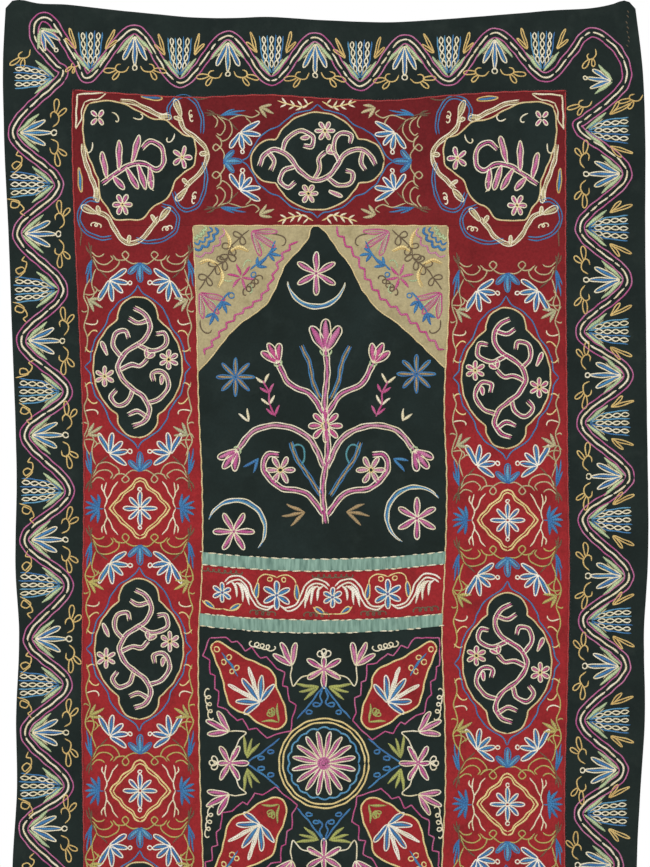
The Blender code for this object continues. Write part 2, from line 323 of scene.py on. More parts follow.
def smooth(curve, column, given, wanted):
    """A smooth curve through a table's rows: Hermite cubics sloped as the rows to both sides are."""
    known, values = curve[given], curve[column]
    slopes = np.gradient(values, known)
    place = np.clip(np.asarray(wanted, float), known[0], known[-1])
    row = np.clip(np.searchsorted(known, place, side="right") - 1, 0, len(known) - 2)
    length = known[row + 1] - known[row]
    share = (place - known[row]) / length
    return (
        (1 + 2 * share) * (1 - share) ** 2 * values[row]
        + share * (1 - share) ** 2 * length * slopes[row]
        + share**2 * (3 - 2 * share) * values[row + 1]
        - share**2 * (1 - share) * length * slopes[row + 1]
    )


def down_seam(name):
    """The function that gives a long seam's place across from its drop."""
    return lambda drop: smooth(DOWN_SEAMS, name, "drop", drop)


def upright(across):
    """The function of a side that runs straight down at one place across."""
    return lambda drop: np.full_like(np.asarray(drop, float), across)


def edge(curve):
    """The function that gives the drop of an edge from its place across."""
    return lambda across: smooth(curve, "drop", "across", across)


def level(name):
    """The function that gives the drop of a sagging seam: a parabola between its ends."""
    ends, sag = LEVELS[name]
    return lambda across: ends + sag * (1 - (np.asarray(across) / PANEL_HALF_WIDTH) ** 2)


def arch(across):
    """The drop of the ogee arch: straight runs between close rows keep its apex sharp."""
    return np.interp(across, ARCH["across"], ARCH["drop"])


def depth(across, drop):
    """Where the cloth's middle lies along Y: slow waves, and a ripple along the long edges."""
    middle = np.zeros(np.shape(across))
    for across_length, drop_length, height, phase in zip(*WAVES.values()):
        middle += height * np.sin(TAU * across / across_length + phase) * np.cos(
            TAU * drop / drop_length + phase
        )
    edge_share = np.clip((np.abs(across) - RIPPLE_START) / RIPPLE_WIDTH, 0, 1) ** 2
    side_phase = np.where(across < 0, 0.0, RIPPLE_PHASE_RIGHT)
    return middle + edge_share * RIPPLE_HEIGHT * np.sin(TAU * drop / RIPPLE_LENGTH + side_phase)


def surface(across, drop):
    """The cloth's middle with its puckers and folds: small waves, and bell curves over the drop."""
    middle = depth(across, drop)
    for across_length, drop_length, height, phase in zip(*PUCKERS.values()):
        middle += height * np.sin(TAU * across / across_length + phase) * np.sin(
            TAU * drop / drop_length + phase
        )
    folded = np.clip((across - FOLD_START) / FOLD_RUN, 0, 1)
    for fold_drop, height, width in zip(*FOLDS.values()):
        middle -= folded * height * np.exp(-(((drop - fold_drop) / width) ** 2))
    return middle


def arc(start, end, rise, steps):
    """Points of a round arc from start up to end, which bulges by rise times its chord."""
    start, end = np.array(start, float), np.array(end, float)
    chord = end - start
    share = np.arange(steps) / steps
    half_angle = 2 * math.atan(2 * rise)
    angle = half_angle * (2 * share - 1)
    along = 0.5 + np.sin(angle) / (2 * math.sin(half_angle))
    bulge = (np.cos(angle) - math.cos(half_angle)) / (2 * math.sin(half_angle))
    outwards = np.array([-chord[1], chord[0]])
    return start + along[:, None] * chord + bulge[:, None] * outwards


def lobed(centre_across, centre_drop, half_width, half_height):
    """A ground's outline: two end lobes and two broad side lobes that meet in four notches."""
    long_half, short_half = max(half_width, half_height), min(half_width, half_height)
    shape = BROAD_SHAPE if half_width > half_height else UPRIGHT_SHAPE
    end = (0.0, long_half)
    notch = (shape["notch_across"] * short_half, shape["notch_along"] * long_half)
    side = (short_half, 0.0)
    end_lobe = arc(end, notch, shape["end_rise"], LOBE_STEPS)
    quarter = np.vstack([end_lobe, arc(notch, side, shape["side_rise"], LOBE_STEPS)])
    back = quarter[:0:-1]
    whole = np.vstack(
        [
            quarter,
            [(short_half, 0.0)],
            back * (1, -1),
            [(0.0, -long_half)],
            quarter[1:] * (-1, -1),
            [(-short_half, 0.0)],
            back * (-1, 1),
        ]
    )
    if half_width > half_height:
        whole = whole[:, ::-1]
    return whole + (centre_across, centre_drop)


def corner_shield(corner_across, corner_drop, across_way, drop_way):
    """The shield in a corner of the band, even about the corner's diagonal."""
    half = np.column_stack([CORNER_SHIELD["across"], CORNER_SHIELD["drop"]])
    whole = np.vstack([half, half[::-1, ::-1]])
    whole[:, 1] = np.minimum(whole[:, 1], CORNER_LIMIT)
    return whole * (across_way * CORNER_WIDTH, drop_way * CORNER_HEIGHT) + (corner_across, corner_drop)


def leaf(across_way, drop_way):
    """A leaf's outline: its half widths laid to both sides of the line from tip to base."""
    centre = np.array([MEDALLION_ACROSS, MEDALLION_DROP])
    way = np.array([across_way, drop_way])
    tip = centre + way * (LEAF_TIP_ACROSS, LEAF_TIP_DROP)
    base = centre + way * (LEAF_BASE_ACROSS, LEAF_BASE_DROP)
    axis = (base - tip) / np.linalg.norm(base - tip)
    sideways = np.array([-axis[1], axis[0]])
    middle = tip + LEAF_PROFILE["from_tip"][:, None] * axis
    offset = LEAF_PROFILE["half_width"][:, None] * sideways
    return np.vstack([middle + offset, (middle - offset)[-2:0:-1]])


# Mesh making.


def mesh_piece(name, vertices, quads, material, triangles=(), coordinates=None):
    """A smooth-shaded mesh from its corners in metres and its faces, with its own UV map."""
    quads, triangles = np.asarray(quads, np.int32), np.asarray(triangles, np.int32).reshape(-1, 3)
    corners = np.concatenate([quads.ravel(), triangles.ravel()])
    starts = np.concatenate(
        [np.arange(len(quads)) * 4, len(quads) * 4 + np.arange(len(triangles)) * 3]
    )
    mesh = bpy.data.meshes.new(name)
    mesh.vertices.add(len(vertices))
    mesh.vertices.foreach_set("co", np.asarray(vertices, np.float32).ravel())
    mesh.loops.add(len(corners))
    mesh.loops.foreach_set("vertex_index", corners.astype(np.int32))
    mesh.polygons.add(len(starts))
    mesh.polygons.foreach_set("loop_start", starts.astype(np.int32))
    mesh.polygons.foreach_set("use_smooth", np.ones(len(starts), bool))
    if coordinates is not None:
        layer = mesh.uv_layers.new(name="along_and_across")
        layer.uv.foreach_set("vector", np.asarray(coordinates, np.float32)[corners].ravel())
    mesh.update(calc_edges=True)
    mesh.validate()
    mesh.materials.append(material)
    piece = bpy.data.objects.new(name, mesh)
    bpy.context.scene.collection.objects.link(piece)
    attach(piece, "root")
    return piece


def in_place(across, drop, y):
    """Plan places and a depth along Y, all in millimetres, as points in metres."""
    return np.stack([across, y, -drop], axis=-1).reshape(-1, 3) * MM


def edge_shares(length):
    """Even shares of a length about one cell apart, with one more close to each end."""
    count = max(3, int(math.ceil(length / CELL)) + 1)
    shares = np.linspace(0, 1, count)
    return np.concatenate([[0, EDGE_ROUND / length], shares[1:-1], [1 - EDGE_ROUND / length, 1]])


def cloth_piece(name, material, seams, thickness=WOOL_THICKNESS, forward=0.0, relief=None):
    """A sheet between four seams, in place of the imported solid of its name.

    A point goes the share u from the left seam to the right one, and the share v from the top one
    to the bottom one, and rounds of both settle where slanting seams meet. Its front lies half the
    thickness before the surface, and relief brings it further forward. The outermost points are
    drawn in, which rounds the sheet's edge.
    """
    left, right, top, bottom = seams
    middle_drop = float(np.mean(top(np.zeros(1)) + bottom(np.zeros(1)))) / 2
    width = float(right(middle_drop) - left(middle_drop))
    ends = np.linspace(float(left(middle_drop)), float(right(middle_drop)), 9)
    height = float(np.max(bottom(ends) - top(ends)))
    u, v = np.meshgrid(edge_shares(width), edge_shares(height))
    across, drop = np.zeros_like(u), np.full_like(u, middle_drop)
    for _ in range(SETTLING_ROUNDS):
        low, high = left(drop) - SEAM_LAP, right(drop) + SEAM_LAP
        across = low + u * (high - low)
        first = top(across) - SEAM_LAP
        last = np.maximum(bottom(across) + SEAM_LAP, first + LEAST_HEIGHT)
        drop = first + v * (last - first)
    middle = surface(across, drop) - forward
    at_edge = (u == 0) | (u == 1) | (v == 0) | (v == 1)
    half = thickness / 2 - np.where(at_edge, EDGE_DROP, 0.0)
    raised = 0.0 if relief is None else relief(across, drop)
    front = in_place(across, drop, middle - half - raised)
    back = in_place(across, drop, middle + half - raised)
    rows, columns = u.shape
    index = np.arange(rows * columns).reshape(rows, columns)
    ahead = np.stack([index[:-1, :-1], index[1:, :-1], index[1:, 1:], index[:-1, 1:]], -1).reshape(-1, 4)
    behind = ahead[:, ::-1] + rows * columns
    outer = np.concatenate([index[0, :-1], index[:-1, -1], index[-1, :0:-1], index[:0:-1, 0]])
    following = np.roll(outer, -1)
    rim = np.stack([outer, following, following + rows * columns, outer + rows * columns], -1)
    plan = np.column_stack([across.ravel(), drop.ravel()]) * MM
    piece = mesh_piece(
        name + "_cloth",
        np.vstack([front, back]),
        np.vstack([ahead, behind, rim]),
        material,
        coordinates=np.vstack([plan, plan]),
    )
    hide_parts(name)
    return piece


def evenly(loop, step):
    """The closed loop's points at even distances of about one step."""
    closed = np.vstack([loop, loop[:1]])
    travelled = np.concatenate([[0], np.cumsum(np.linalg.norm(np.diff(closed, axis=0), axis=1))])
    wanted = np.linspace(0, travelled[-1], int(travelled[-1] / step) + 1)[:-1]
    return np.column_stack([np.interp(wanted, travelled, closed[:, k]) for k in (0, 1)])


def inlay_piece(name, material, outline):
    """A cut shape let into a sheet: rings of its outline drawn in towards its middle.

    Both faces stand slightly proud of the sheet round it, so that it shows from both sides.
    """
    centre = (outline.min(axis=0) + outline.max(axis=0)) / 2
    reach = float(np.max(np.linalg.norm(outline - centre, axis=1)))
    drawn_in = 1 - EDGE_ROUND / reach
    shares = np.concatenate([np.linspace(0, drawn_in, int(reach / CELL) + 3)[1:], [1.0]])
    points = centre + shares[:, None, None] * (outline - centre)
    points = np.vstack([[centre], points.reshape(-1, 2)])
    count, rings, total = len(outline), len(shares), len(points)
    lowered = np.zeros(total)
    lowered[-count:] = INLAY_RISE
    half = WOOL_THICKNESS / 2 + INLAY_RISE - lowered
    middle = surface(points[:, 0], points[:, 1])
    front = in_place(points[:, 0], points[:, 1], middle - half)
    back = in_place(points[:, 0], points[:, 1], middle + half)
    index = 1 + np.arange(rings * count).reshape(rings, count)
    beside = np.roll(index, -1, axis=1)
    ahead = np.stack([index[:-1], beside[:-1], beside[1:], index[1:]], -1).reshape(-1, 4)
    inner = np.column_stack([np.zeros(count, int), beside[0], index[0]])
    rim = np.stack([index[-1], beside[-1], beside[-1] + total, index[-1] + total], -1)
    plan = points * MM
    piece = mesh_piece(
        name + "_cloth",
        np.vstack([front, back]),
        np.vstack([ahead, ahead[:, ::-1] + total, rim]),
        material,
        triangles=np.vstack([inner, inner[:, ::-1] + total]),
        coordinates=np.vstack([plan, plan]),
    )
    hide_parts(name)
    return piece


# Materials.

# The grains of the wools' nap in millimetres: dark specks, and pills of matted fibre.
SPECK_SIZE = 1.4
PILL_SIZE = 4.0


def colour(code):
    """A colour from its sRGB code as the linear values that a shader takes."""
    shares = np.array([int(code[k : k + 2], 16) for k in (1, 3, 5)]) / 255
    linear = np.where(shares <= 0.04045, shares / 12.92, ((shares + 0.055) / 1.055) ** 2.4)
    return (*linear.tolist(), 1.0)


def node(tree, kind, inputs=(), **settings):
    """One shader node with its settings; an input is a value, or the socket that feeds it."""
    made = tree.nodes.new("ShaderNode" + kind)
    for name, value in settings.items():
        setattr(made, name, value)
    for key, value in dict(inputs).items():
        if isinstance(value, bpy.types.NodeSocket):
            tree.links.new(value, made.inputs[key])
        else:
            made.inputs[key].default_value = value
    return made.outputs


def new_material(name):
    """A material with an empty tree, and its tree."""
    made = bpy.data.materials.new(name)
    made.use_nodes = True
    made.node_tree.nodes.clear()
    return made, made.node_tree


def mottled(tree, place, size, detail, low, high):
    """Noise of one grain size in millimetres, stretched from 0 to 1 between low and high."""
    noise = node(
        tree, "TexNoise", {"Vector": place, "Scale": 1 / (size * MM), "Detail": detail, "Roughness": 0.6}
    )
    return node(tree, "MapRange", {"Value": noise["Fac"], "From Min": low, "From Max": high})["Result"]


def blended(tree, factor, first, second):
    """Two colours, or a colour and a socket, mixed by a factor."""
    return node(tree, "Mix", {0: factor, 6: first, 7: second}, data_type="RGBA")[2]


def surfaced(tree, base, bump, roughness, sheen, specular=0.35):
    """The last nodes of a cloth or thread: its shader with its bump, and the output."""
    shader = node(
        tree,
        "BsdfPrincipled",
        {
            "Base Color": base,
            "Roughness": roughness,
            "Normal": bump,
            "Sheen Weight": sheen,
            "Sheen Roughness": 0.45,
            "IOR": 1.5,
            "Specular IOR Level": specular,
        },
    )
    node(tree, "OutputMaterial", {"Surface": shader["BSDF"]})


def surfaced_nap(tree, base, place, fuzz):
    """A wool's last nodes: specks and pills that darken its base colour, and its nap's fine bump."""
    speck = mottled(tree, place, SPECK_SIZE, 3, 0.3, 0.7)
    pill = mottled(tree, place, PILL_SIZE, 4, 0.36, 0.66)
    for factor, value in ((speck, 0.72), (pill, 0.66)):
        share = node(tree, "Math", {0: factor, 1: fuzz}, operation="MULTIPLY")[0]
        darker = node(tree, "HueSaturation", {"Color": base, "Value": value})["Color"]
        base = blended(tree, share, base, darker)
    fibre = mottled(tree, place, 0.7, 2, 0.25, 0.75)
    nap = node(tree, "Math", {0: speck, 1: fibre}, operation="ADD")[0]
    bump = node(tree, "Bump", {"Height": nap, "Strength": 0.35, "Distance": 0.4 * MM})["Normal"]
    surfaced(tree, base, bump, 0.95, 0.12, specular=0.15)


def felted_wool(name, shade, worn_shade, deep, patch=0.5, fuzz=0.5):
    """Fulled wool cloth: a short matt nap that hides the weave.

    Patches of 110 mm drift between the shade and the deep one, 38 mm patches are worn, pills and
    specks darken it, and the nap's bump is under half a millimetre high.
    """
    made, tree = new_material(name)
    place = node(tree, "TexCoord")["Object"]
    drift = mottled(tree, place, 110, 4, 0.35, 0.68)
    base = blended(tree, drift, colour(deep), colour(shade))
    patches = mottled(tree, place, 38, 5, 0.52, 0.78)
    share = node(tree, "Math", {0: patches, 1: patch}, operation="MULTIPLY")[0]
    base = blended(tree, share, base, colour(worn_shade))
    surfaced_nap(tree, base, place, fuzz)
    return made


def red_broadcloth(name):
    """Red fulled wool that is browner and darker towards the top, with faded patches.

    The top 0.6 m shifts to the deep shade, patches of 60 mm soil it, and the nap is as on the
    other wools.
    """
    made, tree = new_material(name)
    place = node(tree, "TexCoord")["Object"]
    height = node(tree, "SeparateXYZ", {"Vector": place})["Z"]
    upper = node(tree, "MapRange", {"Value": height, "From Min": -0.75, "From Max": -0.2})["Result"]
    base = blended(tree, upper, colour("#9f292d"), colour("#6f1d21"))
    soiled = mottled(tree, place, 60, 5, 0.48, 0.75)
    share = node(tree, "Math", {0: soiled, 1: 0.6}, operation="MULTIPLY")[0]
    base = blended(tree, share, base, colour("#5c1719"))
    surfaced_nap(tree, base, place, 0.75)
    return made


def ribbon_silk(name):
    """Grey-green silk ribbon: upright creases 5 mm apart, painted into its colour as shade and highlight,
    and a soft shine.
    """
    made, tree = new_material(name)
    place = node(tree, "TexCoord")["Object"]
    drawn = node(tree, "Mapping", {"Vector": place, "Scale": (1.0, 1.0, 0.12)})["Vector"]
    crease_shade_and_bump = mottled(tree, drawn, 5, 3, 0.3, 0.7)
    # Painted shade and highlight: the crease noise darkens and lightens the base colour along the creases.
    base = blended(tree, crease_shade_and_bump, colour("#4f6f63"), colour("#88a898"))
    rib = mottled(tree, drawn, 0.8, 2, 0.3, 0.7)
    height = node(tree, "Math", {0: crease_shade_and_bump, 1: rib}, operation="ADD")[0]
    bump = node(tree, "Bump", {"Height": height, "Strength": 0.5, "Distance": 0.5 * MM})["Normal"]
    surfaced(tree, base, bump, 0.5, 0.1)
    return made


DARK_WOOL = felted_wool("dark fulled wool", "#1f2b29", "#2c3734", "#18221f")
BORDER_WOOL = felted_wool("dark border wool", "#1f2a27", "#2f3834", "#182220")
BEIGE_WOOL = felted_wool("beige fulled wool", "#b0a27a", "#958862", "#b8ab84", patch=0.8, fuzz=0.6)
RED_WOOL = red_broadcloth("red fulled wool")
GREEN_SILK = ribbon_silk("green ribbon silk")


# Cloth pieces. A ribbon's pleats have one height, and two waves of these lengths along it.

PLEAT_HEIGHT = 1.0
PLEAT_LENGTH = 15.7
UNEVEN_LENGTH = 27.3


def pleats(across, drop):
    """A ribbon's uneven upright pleats: two waves along it whose lengths don't divide."""
    even = np.sin(TAU * across / PLEAT_LENGTH)
    uneven = np.sin(TAU * across / UNEVEN_LENGTH + 0.05 * drop)
    return PLEAT_HEIGHT * 0.5 * (1 + (even * 0.6 + uneven * 0.4))


def inlay_outlines():
    """The outlines of every inlaid shape by name, each turning the same way round."""
    found = {name: lobed(*sizes) for name, sizes in GROUNDS.items()}
    for name, place in CORNERS.items():
        found[name] = spline(*corner_shield(*place)[:: place[2] * place[3]], closed=True, steps=4)[:-1]
    for name, ways in LEAVES.items():
        found[name] = spline(*leaf(*ways)[:: ways[0] * ways[1]], closed=True, steps=4)[:-1]
    return {name: evenly(outline, INLAY_STEP) for name, outline in found.items()}


def build_cloth():
    """Every sheet of the hanging, from the border inwards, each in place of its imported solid."""
    top, bottom = edge(TOP_EDGE), edge(BOTTOM_EDGE)
    left, right = down_seam("band_left"), down_seam("band_right")
    plans = {
        "border_left": (down_seam("outer_left"), left, top, bottom),
        "border_right": (right, down_seam("outer_right"), top, bottom),
        "border_top": (left, right, top, edge(BAND_TOP)),
        "border_bottom": (left, right, level("band_bottom"), bottom),
    }
    for name, seams in plans.items():
        cloth_piece(name, BORDER_WOOL, seams, BORDER_THICKNESS)
    panel_left, panel_right = down_seam("panel_left"), down_seam("panel_right")
    panel_top, panel_bottom = level("panel_top"), level("panel_bottom")
    plans = {
        "band_top": (left, right, edge(BAND_TOP), panel_top),
        "band_bottom": (left, right, panel_bottom, level("band_bottom")),
        "band_left": (left, panel_left, panel_top, panel_bottom),
        "band_right": (panel_right, right, panel_top, panel_bottom),
    }
    for name, seams in plans.items():
        cloth_piece(name, RED_WOOL, seams)
    for name, outline in inlay_outlines().items():
        if name.startswith("ground"):
            inlay_piece(name, DARK_WOOL, outline)
        else:
            inlay_piece(name, RED_WOOL, outline)
    seams = (panel_left, panel_right, arch, level("ribbon_1_top"))
    cloth_piece("niche_field", DARK_WOOL, seams)
    seams = (panel_left, upright(ARCH_APEX_LEFT), panel_top, arch)
    cloth_piece("spandrel_left", BEIGE_WOOL, seams)
    seams = (upright(ARCH_APEX_RIGHT), panel_right, panel_top, arch)
    cloth_piece("spandrel_right", BEIGE_WOOL, seams)
    for name, (first, last) in STRIPS.items():
        seams = (panel_left, panel_right, level(first), level(last))
        cloth_piece(name, RED_WOOL, seams)
    for name, ribbon in RIBBONS.items():
        seams = (panel_left, panel_right, level(ribbon + "_top"), level(ribbon + "_bottom"))
        cloth_piece(name, GREEN_SILK, seams, RIBBON_THICKNESS, RIBBON_FORWARD, relief=pleats)
    for name, (first, last) in PANELS.items():
        seams = (panel_left, panel_right, level(first), level(last))
        cloth_piece(name, DARK_WOOL, seams)


# Stage, light and camera.

# The photograph's scale in millimetres a pixel, its height in pixels, and its middle on the plan.
PHOTO_SCALE = 1.72
PHOTO_HEIGHT = 867
PHOTO_MIDDLE_ACROSS = 6.9
PHOTO_MIDDLE_DROP = 711.2

# The lens and the width of the camera's sensor, in millimetres.
LENS = 100.0
SENSOR = 36.0

# The floor and the lamps, in metres and watts: each lamp's place, size and power.
FLOOR_REACH = 3.2
FLOOR_LEVEL = -2.26
LAMPS = (
    ("key lamp", (-2.6, -3.0, 0.9), 2.2, 45.0),
    ("fill lamp", (2.8, -3.4, -0.4), 2.6, 15.0),
)
LAMP_AIM = (0.0, 0.0, -0.95)


def build_stage():
    """A pale floor under the hanging, a white surround, soft lamps and a long lens on its face."""
    scene = bpy.context.scene
    scene.view_settings.view_transform = "Standard"
    build_floor(scene)
    world = bpy.data.worlds.new("studio surround")
    world.use_nodes = True
    world.node_tree.nodes["Background"].inputs["Color"].default_value = (1.0, 1.0, 1.0, 1.0)
    world.node_tree.nodes["Background"].inputs["Strength"].default_value = 1.0
    scene.world = world
    for name, place, size, power in LAMPS:
        light = bpy.data.lights.new(name, "AREA")
        light.size = size
        light.energy = power
        lamp = bpy.data.objects.new(name, light)
        lamp.location = place
        lamp.rotation_euler = aimed_turn(np.array(place), np.array(LAMP_AIM))
        scene.collection.objects.link(lamp)
    build_camera(scene)


def build_floor(scene):
    """The pale floor: one square that the hanging ends just above."""
    made, tree = new_material("pale floor")
    shader = node(tree, "BsdfPrincipled", {"Base Color": colour("#dedcd8"), "Roughness": 0.85})
    node(tree, "OutputMaterial", {"Surface": shader["BSDF"]})
    mesh = bpy.data.meshes.new("floor")
    ways = ((-1, -1), (1, -1), (1, 1), (-1, 1))
    corners = [(x * FLOOR_REACH, y * FLOOR_REACH, FLOOR_LEVEL) for x, y in ways]
    mesh.from_pydata(corners, [], [(0, 1, 2, 3)])
    mesh.materials.append(made)
    floor = bpy.data.objects.new("floor", mesh)
    scene.collection.objects.link(floor)


def build_camera(scene):
    """The camera square to the face, as far off as makes the frame as tall as the photograph."""
    camera = bpy.data.cameras.new("camera")
    camera.lens = LENS
    camera.sensor_width = SENSOR
    distance = PHOTO_HEIGHT * PHOTO_SCALE * MM * LENS / SENSOR
    viewer = bpy.data.objects.new("camera", camera)
    viewer.location = (PHOTO_MIDDLE_ACROSS * MM, -distance, -PHOTO_MIDDLE_DROP * MM)
    viewer.rotation_euler = (math.pi / 2, 0, 0)
    scene.collection.objects.link(viewer)
    scene.camera = viewer


def aimed_turn(place, aim):
    """The turn that points a lamp's -Z axis from its place to its aim."""
    away = place - aim
    flat = math.hypot(away[0], away[1])
    return (math.atan2(flat, away[2]), 0.0, math.atan2(away[0], -away[1]))


# Stitched threads.

# The widths of stitched lines.
LINE = 3.2
THIN = 2.4
BOLD = 4.6
CORD = 2.8

# How far a thread stands up from the cloth, and how deep its root lies in it.
THREAD_HEIGHT = 1.1
THREAD_ROOT = 0.5

# The longest step and the greatest turn from one section of a thread to the next.
STITCH_STEP = 4.8
TURN_STEP = math.radians(29)

# One stitch, a little coarser than the real ones so that it shows, and how far a line strays.
STITCH_LENGTH = 4.0
WANDER = 0.45

# How far in front of the cloth's middle each region's threads start.
LIFT = {
    "border": 1.5,
    "band": 1.0,
    "inlay": 1.3,
    "niche": 1.0,
    "panel": 1.0,
    "inlay_leaf": 1.3,
    "ribbon": 2.2,
}

# The piece that each region's threads are part of.
PIECE_OF = {
    "border": "border",
    "band": "band",
    "inlay": "band",
    "niche": "niche",
    "panel": "panel",
    "inlay_leaf": "panel",
    "ribbon": "panel",
}

threads = {}
Stroke = collections.namedtuple("Stroke", "points shade width leafy")


def stroke(points, shade, width=LINE, leafy=False):
    """One stitched line: its path, its thread's colour, its width, and whether it swells as a leaf."""
    return Stroke(np.asarray(points, float).reshape(-1, 2), shade, width, leafy)


def lay(region, motif):
    """Adds a motif's strokes to the threads of a region."""
    for item in motif:
        threads.setdefault((PIECE_OF[region], item.shade), []).append((item, LIFT[region]))


def set_down(motif, across=0.0, drop=0.0, turn=0.0, size=1.0, mirror=1):
    """A motif moved to its place: mirrored in its axis, scaled, turned in degrees, then shifted."""
    c, s = math.cos(math.radians(turn)) * size, math.sin(math.radians(turn)) * size
    spin = np.array([[c, s], [-s * mirror, c * mirror]])
    return [item._replace(points=item.points @ spin + (across, drop)) for item in motif]


def spread(motif, across_size, drop_size):
    """A motif scaled by its own factor in each direction; a factor below zero mirrors it."""
    return [item._replace(points=item.points * (across_size, drop_size)) for item in motif]


def both_sides(motif):
    """A motif and its mirror image across the upright axis."""
    return motif + spread(motif, -1, 1)


def four_ways(motif):
    """A motif mirrored into all four quarters."""
    return both_sides(motif) + both_sides(spread(motif, 1, -1))


def swapped(motif):
    """A motif mirrored in the diagonal: its two coordinates change places."""
    return [item._replace(points=item.points[:, ::-1]) for item in motif]


def spline(*points, closed=False, steps=8):
    """A Catmull-Rom curve through points: cubics whose slope at each is half its neighbours' gap."""
    known = np.array(points, float)
    if closed:
        known = np.vstack([known[-1:], known, known[:2]])
    else:
        known = np.vstack([2 * known[0] - known[1], known, 2 * known[-1] - known[-2]])
    a, b, c, d = known[:-3, None], known[1:-2, None], known[2:-1, None], known[3:, None]
    t = (np.arange(steps) / steps)[None, :, None]
    curve = 2 * b + (c - a) * t + (2 * a - 5 * b + 4 * c - d) * t**2
    curve = 0.5 * (curve + (3 * b - a - 3 * c + d) * t**3)
    return np.vstack([curve.reshape(-1, 2), known[-2:-1]])


def sewn(shade, width, *points, leafy=False):
    """One stitched line along the smooth curve through points."""
    return stroke(spline(*points), shade, width, leafy)


def sewn_round(outline, shade, width):
    """One stitched line round a closed outline: its points, and the first one again."""
    return stroke(np.vstack([outline, outline[:1]]), shade, width)


def round_line(reach, angle):
    """A line round 0 from its reach at each angle: across is reach cos, drop is reach sin."""
    return np.column_stack([reach * np.cos(angle), reach * np.sin(angle)])


def ring(radius, across=0.0, drop=0.0):
    """A closed circle."""
    angle = np.linspace(0, TAU, max(10, int(radius)) + 7)
    return np.column_stack([across + radius * np.cos(angle), drop + radius * np.sin(angle)])


def bow(radius, start, end, across=0.0, drop=0.0):
    """An arc of a circle between two angles in degrees."""
    angle = np.radians(np.linspace(start, end, max(6, int(abs(end - start) / 14))))
    return np.column_stack([across + radius * np.cos(angle), drop + radius * np.sin(angle)])


def petal(length, width, root=0.0):
    """A teardrop loop from its root out along the axis and back, widest past its middle."""
    angle = np.linspace(0, TAU, 19)
    along = root + length * (1 - np.cos(angle)) / 2
    return np.column_stack([along, width / 2 * np.sin(angle) * (1 - 0.28 * np.cos(angle))])


def curl(heading, length, bend, hook=0.0, power=3, start=(0.0, 0.0)):
    """A scroll whose heading grows as heading + bend s + hook s^power degrees over its length."""
    share = np.linspace(0, 1, max(10, int(length / 2)))
    angle = np.radians(heading + bend * share + hook * share**power)
    step = length / (len(share) - 1)
    path = np.cumsum(np.column_stack([np.cos(angle), np.sin(angle)]) * step, axis=0)
    return np.vstack([[0, 0], path[:-1]]) + start


def normals(path):
    """The unit vectors to the side of a path: its slopes turned a quarter turn."""
    slope = np.gradient(path, axis=0)
    slope = slope / np.maximum(np.linalg.norm(slope, axis=1), 1e-9)[:, None]
    return np.column_stack([-slope[:, 1], slope[:, 0]])


def aside(path, distance):
    """A path moved sideways by a distance."""
    return path + distance * normals(path)


def evenly_open(path, count):
    """A path's points at even distances along it."""
    travelled = np.concatenate([[0], np.cumsum(np.linalg.norm(np.diff(path, axis=0), axis=1))])
    wanted = np.linspace(0, travelled[-1], count)
    return np.column_stack([np.interp(wanted, travelled, path[:, k]) for k in (0, 1)])


def loops(path, count, radius, side=1):
    """A row of loops along a path: a point on it circles once for each loop as it moves on."""
    base = evenly_open(np.asarray(path, float), count * 14)
    across = normals(base)
    along = np.column_stack([across[:, 1], -across[:, 0]])
    angle = TAU * count * np.linspace(0, 1, len(base))
    out = side * radius * (1 - np.cos(angle))
    return base + out[:, None] * across - (radius * 1.25 * np.sin(angle))[:, None] * along


def wave(path, count, height, phase=0.0):
    """A path that swings to both sides of another, count times, as a sine."""
    base = evenly_open(np.asarray(path, float), count * 10 + 1)
    swing = height * np.sin(TAU * count * np.linspace(0, 1, len(base)) + phase)
    return base + swing[:, None] * normals(base)


def straight_runs(corners):
    """A path of straight runs between corners, with points along each run."""
    places = np.linspace(0, len(corners) - 1, 4 * len(corners) - 3)
    return np.column_stack([np.interp(places, np.arange(len(corners)), corners[:, k]) for k in (0, 1)])


def zigzag(path, count, height):
    """A path that goes to and fro across another in straight runs."""
    base = evenly_open(np.asarray(path, float), 2 * count + 1)
    swing = height * np.where(np.arange(len(base)) % 2, 1.0, -1.0)
    corners = base + swing[:, None] * normals(base)
    corners[1::2] += 0.4 * (corners[2::2] - corners[1::2])
    return straight_runs(corners)


def worn(motif, dash, gap):
    """A motif whose lines have lost stitches: random dashes of about one length between gaps."""
    found = []
    for item in motif:
        length = float(np.sum(np.linalg.norm(np.diff(item.points, axis=0), axis=1)))
        path = evenly_open(item.points, max(4, int(length / 2)))
        place = 0.0
        while place < length:
            run = dash * rng.uniform(0.3, 1.7)
            piece = path[int(place / length * len(path)) : int((place + run) / length * len(path)) + 1]
            if len(piece) > 3:
                found.append(item._replace(points=piece))
            place += run + gap * rng.uniform(0.3, 1.8)
    return found


def resampled(points):
    """A path at even steps of length and turning: about one stitch, and closer in tight bends."""
    sides = np.diff(points, axis=0)
    lengths = np.hypot(sides[:, 0], sides[:, 1])
    kept = lengths > 1e-6
    points = np.vstack([points[:1], points[1:][kept]])
    sides, lengths = sides[kept], lengths[kept]
    headings = np.unwrap(np.arctan2(sides[:, 1], sides[:, 0]))
    turning = np.abs(np.diff(headings, prepend=headings[:1]))
    turning = 0.5 * (turning + np.append(turning[1:], 0))
    total = np.concatenate([[0], np.cumsum(lengths / STITCH_STEP + turning / TURN_STEP)])
    travelled = np.concatenate([[0], np.cumsum(lengths)])
    wanted = np.linspace(0, total[-1], max(3, int(math.ceil(total[-1])) + 1))
    path = np.column_stack([np.interp(wanted, total, points[:, k]) for k in (0, 1)])
    return path, np.interp(wanted, total, travelled)


